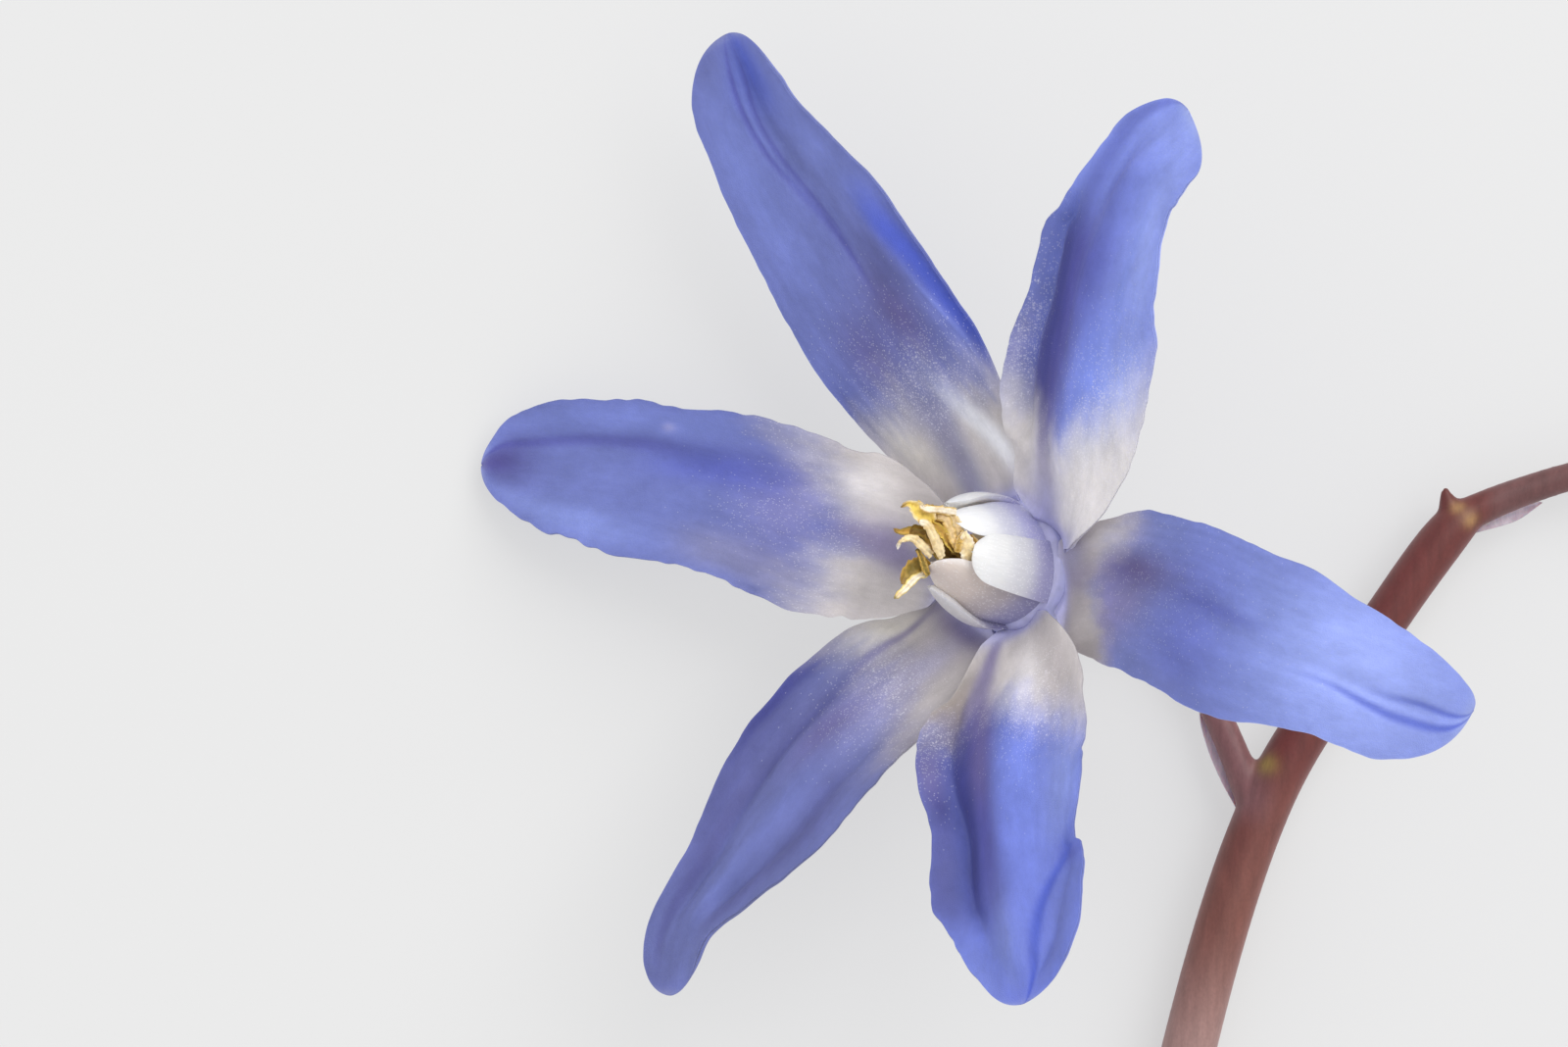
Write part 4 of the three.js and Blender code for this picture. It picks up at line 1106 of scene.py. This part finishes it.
def make_anther(anther, material, random):
    """An anther's strips as one piece, each wrinkled and with a furrow that wanders along its middle."""
    points, faces, tints = [], [], []
    count = 0
    for part in anther["strips"]:
        u, v, width, front, depth = strip_grid(part["points"], part["half"], ANTHER_FACE, ANTHER_THICKNESS,
                                               ANTHER_GRID, part["hollow"], ANTHER_TIP, random)
        length = u * ANTHER_LENGTH
        wrinkle = soft_noise(random, v * width, length, WRINKLE_CELL)
        wander = FURROW_WANDER * soft_noise(random, np.zeros(u.shape), length, FURROW_CELL)
        furrow = bell(v + wander, FURROW_WIDTH)
        lift = WRINKLE * wrinkle - FURROW * furrow
        front = front + surface_normals(front) * lift[..., None]
        points.append(in_flower(two_faces(front, depth)))
        faces.append(two_face_list(*ANTHER_GRID) + count)
        count += len(points[-1])
        tint = mixed(plain(part["middle"], u), part["edge"], smooth(*ANTHER_EDGE_FROM, abs(v)))
        tint = mixed(tint, part["end"], smooth(*ANTHER_END_FROM, u))
        # Painted light and shade: the wrinkles lighten and darken the tint, and the furrow is darkened with
        # painted shade.
        tints.append(twice(tint * (1 + WRINKLE_LIGHT * wrinkle - FURROW_SHADE * furrow)[..., None]))
    thing = make_mesh(anther["name"], np.concatenate(points), np.concatenate(faces), np.concatenate(tints))
    place(thing, anther["node"], material)


def closed_faces(rings, sides):
    """The faces of a closed body whose points are rings, and then its first and its last middle."""
    first = (rings + 1) * sides
    faces = []
    for k in range(sides):
        after = (k + 1) % sides
        for i in range(rings):
            a, b = i * sides, (i + 1) * sides
            faces.append((a + k, a + after, b + after, b + k))
        faces.append((first, after, k))
        faces.append((first + 1, rings * sides + k, rings * sides + after))
    return faces


def round_body(points, radius, rings, sides):
    """A closed round body along a path: points and faces."""
    u = np.linspace(0, 1, rings + 1)
    centre, tangent, size = along(points, u), directions(points, u), along(radius, u)
    across = unit(np.array([0, 0, 1.0]) - tangent * tangent[:, 2:3])
    other = np.cross(tangent, across)
    angle = np.linspace(0, 2 * math.pi, sides, endpoint=False)
    ring = across[:, None] * np.cos(angle)[None, :, None] + other[:, None] * np.sin(angle)[None, :, None]
    body = (centre[:, None] + ring * size[:, None, None]).reshape(-1, 3)
    return np.concatenate([body, centre[:1], centre[-1:]]), closed_faces(rings, sides)


def make_stem(material):
    """The scape, its two pedicels and the thorn, grown together by a remesh."""
    points, faces, count = [], [], 0
    for branch in (SCAPE, PEDICEL, BUD_PEDICEL, THORN):
        body, cells = round_body(**branch)
        points.append(in_sprig(body))
        faces += [tuple(k + count for k in cell) for cell in cells]
        count += len(body)
    thing = make_mesh("stem", np.concatenate(points), faces)
    remesh = thing.modifiers.new("join", "REMESH")
    remesh.mode = "VOXEL"
    remesh.voxel_size = STEM_VOXEL * MM
    relax = thing.modifiers.new("relax", "SMOOTH")
    relax.iterations = STEM_SMOOTHING
    bpy.context.view_layer.objects.active = thing
    for modifier in list(thing.modifiers):
        bpy.ops.object.modifier_apply(modifier=modifier.name)
    mesh = thing.data
    mesh.shade_smooth()
    grown = np.zeros(len(mesh.vertices) * 3)
    mesh.vertices.foreach_get("co", grown)
    set_tint(mesh, stem_tint(grown.reshape(-1, 3) / MM - THROAT))
    place(thing, "scape", material)


def stem_tint(p):
    """The stem is pale grey red below and deep red above the fork, with scars where it branches."""
    x, y = p[:, 0], p[:, 1]
    colour = plain(STEM_LOW, x)
    for start, end, tint in STEM_SHADES:
        colour = mixed(colour, tint, smooth(start, end, y))
    colour = mixed(colour, PEDICEL_TINT, smooth(*PEDICEL_ABOVE, y) * (1 - smooth(*PEDICEL_LEFT_OF, x)))
    colour = mixed(colour, BUD_PEDICEL_TINT, smooth(*BUD_PEDICEL_RIGHT_OF, x))
    for at, size, tint, amount in STEM_SPOTS:
        colour = mixed(colour, tint, amount * bell(np.linalg.norm(p - at, axis=1), size))
    return colour


def make_bud(material):
    """The closed bud: six tepals wrapped edge to edge, with a seam between each two."""
    points, faces = round_body(**BUD)
    rings, sides = BUD["rings"], BUD["sides"]
    u = np.repeat(np.arange(rings + 1), sides) / rings
    angle = 2 * math.pi * np.tile(np.arange(sides), rings + 1) / sides + BUD_TWIST * u
    wrap = abs(np.sin(BUD_TEPALS * angle / 2))
    body, ends = points[:-2], points[-2:]
    outward = unit(body - along(BUD["points"], u))
    seam = BUD_SEAM * (1 - wrap) ** 2 * np.sqrt(np.sin(math.pi * u))
    points = np.concatenate([body - outward * seam[:, None], ends])
    tint = mixed(plain(BUD_VIOLET, u), BUD_RIB, BUD_RIB_AMOUNT * smooth(*BUD_RIB_FROM, wrap))
    tint = mixed(tint, BUD_GREEN, 1 - smooth(*BUD_GREEN_ENDS, u))
    tint = np.concatenate([tint, [linear(BUD_GREEN), linear(BUD_VIOLET)]])
    grain = np.stack([angle * BUD_GRAIN[0], u * BUD_GRAIN[1], np.zeros(len(u))], axis=-1)
    grain = np.concatenate([grain, np.zeros((2, 3))])
    thing = make_mesh("bud", in_sprig(points), faces, tint, grain=grain, frost=np.zeros(len(points)))
    place(thing, "flower_bud", material)


def make_bract(bract, material):
    u, v, width, front, depth = strip_grid(bract["points"], bract["half"], np.array([0, 0, 1.0]),
                                           BRACT_THICKNESS, BRACT_GRID, BRACT_HOLLOW, BRACT_TIP)
    thing = make_mesh(bract["name"], in_sprig(two_faces(front, depth)), two_face_list(*BRACT_GRID))
    place(thing, bract["node"], material)


def finer(profile, steps):
    """A rounder profile near the same points."""
    values = np.array(profile, float)
    share = np.arange(steps)[:, None] / steps
    pieces = [start + (end - start) * share for start, end in zip(values, values[1:])]
    result = np.concatenate(pieces + [values[-1:]])
    for _ in range(steps):
        result[1:-1] = (result[:-2] + 2 * result[1:-1] + result[2:]) / 4
    result[:, 0] = np.maximum(result[:, 0], 0)
    return result


def turned_body(name, profile, sides, tint_at):
    """A body turned on the flower's axis. tint_at gives a tint from a radius and a height."""
    profile = finer(profile, PROFILE_STEPS)
    angle = np.linspace(0, 2 * math.pi, sides, endpoint=False)
    ring = np.stack([np.cos(angle), np.sin(angle)], axis=1)
    body = [np.column_stack([ring * radius, np.full(sides, height)]) for radius, height in profile[1:-1]]
    middles = [[0, 0, profile[0, 1]], [0, 0, profile[-1, 1]]]
    tints = [linear(tint_at(radius, height)) for radius, height in profile]
    tint = np.concatenate([np.repeat(tints[1:-1], sides, axis=0), [tints[0], tints[-1]]])
    faces = closed_faces(len(body) - 1, sides)
    return make_mesh(name, in_flower(np.concatenate(body + [middles])), faces, tint)


def tube_tint(radius, height):
    """Purple grey below, lavender at the rim, and dull gold inside, lightened as painted light in the gap
    among the anthers.
    """
    if radius < TUBE_HOLLOW_WITHIN and height > TUBE_HOLLOW_ABOVE:
        return TUBE_INSIDE
    if radius < TUBE_LIP_WITHIN and height > TUBE_LIP_ABOVE:
        return THROAT_TINT
    return THROAT_RIM if height > TUBE_RIM_ABOVE else TUBE_OUTSIDE


def pistil_tint(radius, height):
    """The pistil has one tint all over, a pale gold lightened as painted light in the gap among the anthers.
    """
    return PISTIL_TINT


def make_throat(material):
    """The tube that the petals go down into, and the pistil in it."""
    tube = turned_body("throat", TUBE_PROFILE, TUBE_SIDES, tube_tint)
    place(tube, "perianth_tube", material)
    pistil = turned_body("style_and_ovary", PISTIL_PROFILE, PISTIL_SIDES, pistil_tint)
    place(pistil, "pistil", material)


class Paint:
    """A material, with short calls for the nodes that colour it."""

    def __init__(self, name):
        self.material = bpy.data.materials.new(name)
        self.material.use_nodes = True
        self.nodes = self.material.node_tree.nodes
        self.links = self.material.node_tree.links
        self.shader = self.nodes["Principled BSDF"]

    def feed(self, node, inputs):
        """Gives a node its inputs: a socket is linked, and any other value is set."""
        for key, value in inputs.items():
            if isinstance(value, bpy.types.NodeSocket):
                self.links.new(value, node.inputs[key])
            else:
                node.inputs[key].default_value = value

    def new(self, kind, inputs):
        node = self.nodes.new("ShaderNode" + kind)
        self.feed(node, inputs)
        return node

    def attribute(self, name, output):
        """What a mesh's points carry under a name."""
        node = self.new("Attribute", {})
        node.attribute_name = name
        return node.outputs[output]

    def tint(self):
        return self.attribute("tint", "Color")

    def scaled(self, vector, scale):
        return self.new("Mapping", {"Vector": vector, "Scale": scale}).outputs["Vector"]

    def millimetres(self):
        """The place on the object, in millimetres."""
        return self.scaled(self.new("TexCoord", {}).outputs["Object"], (1 / MM, 1 / MM, 1 / MM))

    def noise(self, vector, cells, detail=3.0, roughness=0.55):
        """A noise with so many cells to a millimetre each way."""
        inputs = {"Vector": self.scaled(vector, cells), "Scale": 1.0, "Detail": detail,
                  "Roughness": roughness}
        return self.new("TexNoise", inputs).outputs["Fac"]

    def remap(self, value, old, new):
        """A value of one range, moved to another."""
        inputs = {"Value": value, "From Min": old[0], "From Max": old[1], "To Min": new[0], "To Max": new[1]}
        return self.new("MapRange", inputs).outputs["Result"]

    def maths(self, operation, a, b):
        node = self.new("Math", {})
        node.operation = operation
        self.feed(node, {0: a, 1: b})
        return node.outputs["Value"]

    def blend(self, factor, a, b, kind="MIX"):
        """Mixes two colours. Each is a socket, or a linear red, green and blue."""
        node = self.new("Mix", {"Factor": factor})
        node.data_type = "RGBA"
        node.blend_type = kind
        colours = [i for i, socket in enumerate(node.inputs) if socket.type == "RGBA"]
        for i, value in zip(colours, (a, b)):
            self.feed(node, {i: value if isinstance(value, bpy.types.NodeSocket) else (*value, 1.0)})
        return next(socket for socket in node.outputs if socket.type == "RGBA")

    def shaded(self, colour, noise, darkest, lightest):
        """A colour that a noise makes darker and lighter."""
        grey = self.remap(noise, NOISE_RANGE, (darkest, lightest))
        grey = self.new("CombineColor", {"Red": grey, "Green": grey, "Blue": grey}).outputs["Color"]
        return self.blend(1.0, colour, grey, "MULTIPLY")

    def glinting(self, colour, vector, cells, chance, amount, glint):
        """Paints a highlight on the small round cells whose own chance is above the one given: painted
        glints. Also their dots.
        """
        node = self.new("TexVoronoi", {"Vector": self.scaled(vector, cells), "Scale": 1.0})
        node.voronoi_dimensions = "2D"
        own_chance = self.new("SeparateColor", {"Color": node.outputs["Color"]}).outputs[0]
        dots = self.remap(node.outputs["Distance"], DOT_EDGE, (1, 0))
        lit = self.maths("MULTIPLY", self.maths("GREATER_THAN", own_chance, chance), dots)
        return self.blend(self.maths("MULTIPLY", lit, amount), colour, glint), dots

    def finish(self, colour, relief, strength, distance, skin):
        """Gives the shader its colour, its bumps and its own settings."""
        bump = self.new("Bump", {"Height": relief, "Strength": strength, "Distance": distance * MM})
        self.feed(self.shader, {"Base Color": colour, "Normal": bump.outputs["Normal"]})
        self.feed(self.shader, skin)
        return self.material


def petal_material():
    """Satin petal: clouded and finely streaked, with painted glints of highlight on some of its cells."""
    paint = Paint("petal_satin")
    grain, frost = paint.attribute("grain", "Vector"), paint.attribute("frost", "Fac")
    colour = paint.tint()
    for cells, detail, roughness, darkest, lightest in PETAL_NOISES:
        colour = paint.shaded(colour, paint.noise(grain, cells, detail, roughness), darkest, lightest)
    glint = linear(PETAL_GLINT)
    chance = paint.remap(frost, (0, 1), (1, 0.4))
    colour, dots = paint.glinting(colour, grain, (25, 18, 1), chance, amount=0.26, glint=glint)
    chance = paint.remap(frost, (0.3, 1), (1, 0.72))
    colour = paint.glinting(colour, grain, (15, 12, 1), chance, amount=0.34, glint=glint)[0]
    return paint.finish(colour, dots, strength=0.3, distance=0.012, skin={
        "Roughness": 0.52,
        "Specular IOR Level": 0.3,
        "Sheen Weight": 0.1,
        "Sheen Roughness": 0.5,
        "Subsurface Weight": 0.2,
        "Subsurface Scale": 0.3 * MM,
        "Subsurface Radius": (0.8, 0.8, 1.0),
    })


def filament_material():
    """White flesh, with painted glints of highlight on some of its cells."""
    paint = Paint("filament_white")
    grain, frost = paint.attribute("grain", "Vector"), paint.attribute("frost", "Fac")
    colour = paint.shaded(paint.tint(), paint.noise(grain, (16, 1.5, 1), detail=2), 0.96, 1.03)
    chance = paint.remap(frost, (0, 1), (1, 0.7))
    colour, dots = paint.glinting(colour, grain, (20, 14, 1), chance, amount=0.4, glint=FILAMENT_GLINT)
    return paint.finish(colour, dots, strength=0.25, distance=0.012, skin={
        "Roughness": 0.42,
        "Specular IOR Level": 0.4,
        "Subsurface Weight": 0.35,
        "Subsurface Scale": 0.4 * MM,
        "Subsurface Radius": (1.0, 0.9, 0.8),
    })


def anther_material():
    """Dry ochre skin, blotched with gold and wrinkled."""
    paint = Paint("anther_ochre")
    wrinkle = paint.noise(paint.millimetres(), (14, 14, 14))
    blotch = paint.noise(paint.millimetres(), (3, 3, 3))
    colour = paint.blend(paint.remap(blotch, (0.55, 0.7), (0, 0.5)), paint.tint(), linear(GOLD))
    colour = paint.shaded(colour, wrinkle, 0.92, 1.06)
    return paint.finish(colour, wrinkle, strength=0.4, distance=0.015, skin={
        "Roughness": 0.5,
        "Specular IOR Level": 0.35,
        "Subsurface Weight": 0.3,
        "Subsurface Scale": 0.15 * MM,
        "Subsurface Radius": (1.0, 0.85, 0.5),
    })


def stem_material():
    """Red brown skin, streaked along the stem and finely specked."""
    paint = Paint("stem_red_brown")
    streak = paint.noise(paint.millimetres(), (4, 0.5, 4))
    speck = paint.noise(paint.millimetres(), (14, 8, 14), detail=2)
    colour = paint.shaded(paint.tint(), streak, 0.85, 1.15)
    colour = paint.shaded(colour, speck, 0.93, 1.07)
    return paint.finish(colour, speck, strength=0.25, distance=0.02, skin={
        "Roughness": 0.48,
        "Specular IOR Level": 0.35,
        "Sheen Weight": 0.2,
        "Sheen Tint": (0.9, 0.65, 0.68, 1),
    })


def throat_material():
    """The tube's and the pistil's skin, with a fine mottling."""
    paint = Paint("throat_violet")
    mottle = paint.noise(paint.millimetres(), (3, 3, 3))
    colour = paint.shaded(paint.tint(), mottle, 0.9, 1.1)
    return paint.finish(colour, mottle, strength=0.3, distance=0.03, skin={
        "Roughness": 0.5,
        "Subsurface Weight": 0.25,
        "Subsurface Scale": 0.4 * MM,
        "Subsurface Radius": (0.8, 0.8, 1.0),
    })


def bract_material():
    """A thin lilac membrane with soft veins."""
    paint = Paint("bract_lilac")
    vein = paint.noise(paint.millimetres(), (7, 2, 7))
    pale, deep = BRACT_TINTS
    colour = paint.blend(paint.remap(vein, (0.35, 0.65), (0, 1)), linear(pale), linear(deep))
    return paint.finish(colour, vein, strength=0.3, distance=0.02, skin={
        "Roughness": 0.6,
        "Subsurface Weight": 0.3,
        "Subsurface Scale": 0.3 * MM,
    })


def make_floor():
    """The pale surface, level with the part's lowest point."""
    height = min(CAD_BOX[0].z / MM, 0)
    corners = [(x * FLOOR_HALF, y * FLOOR_HALF, height) for x, y in ((-1, -1), (1, -1), (1, 1), (-1, 1))]
    floor = make_mesh("surface", corners, [(0, 1, 2, 3)])
    paint = Paint("surface_pale")
    paint.feed(paint.shader, {
        "Base Color": (FLOOR_ALBEDO, FLOOR_ALBEDO, FLOOR_ALBEDO, 1),
        "Emission Color": (1, 1, 1, 1),
        "Emission Strength": FLOOR_GLOW,
        "Roughness": 0.9,
        "Specular IOR Level": 0.1,
    })
    floor.data.materials.append(paint.material)


def make_lights():
    """A white world and one soft square light."""
    world = bpy.data.worlds.new("studio")
    world.use_nodes = True
    background = world.node_tree.nodes["Background"]
    background.inputs["Color"].default_value = (1.0, 1.0, 1.0, 1)
    background.inputs["Strength"].default_value = WORLD_STRENGTH
    bpy.context.scene.world = world
    data = bpy.data.lights.new("key", "AREA")
    data.shape = "SQUARE"
    data.size = KEY_SIZE * MM
    data.energy = KEY_WATTS
    key = bpy.data.objects.new("key", data)
    bpy.context.scene.collection.objects.link(key)
    at, toward = np.array(KEY_AT, float), np.array(KEY_TOWARD, float)
    key.location = at * MM
    key.rotation_euler = Vector(unit(at - toward)).to_track_quat("Z", "Y").to_euler()


def make_camera():
    data = bpy.data.cameras.new("camera")
    data.sensor_width = SENSOR
    data.lens = SENSOR * CAMERA_AWAY * PIXELS_PER_MM / IMAGE_WIDTH
    data.clip_start, data.clip_end = CAMERA_LIMITS
    camera = bpy.data.objects.new("camera", data)
    bpy.context.scene.collection.objects.link(camera)
    camera.location = (THROAT + [*CAMERA_OFFSET, CAMERA_AWAY]) * MM
    bpy.context.scene.camera = camera


def build():
    """Makes every piece of the sprig. The random values are drawn in this order."""
    random = np.random.default_rng(SEED)
    satin = petal_material()
    for petal in PETALS:
        make_petal(petal, satin, random)
    white = filament_material()
    for filament in FILAMENTS:
        make_filament(filament, white)
    ochre = anther_material()
    for anther in ANTHERS:
        make_anther(anther, ochre, random)
    make_throat(throat_material())
    make_stem(stem_material())
    make_bud(satin)
    lilac = bract_material()
    for bract in BRACTS:
        make_bract(bract, lilac)


build()
make_floor()
make_lights()
make_camera()
bpy.context.scene.view_settings.view_transform = "Standard"
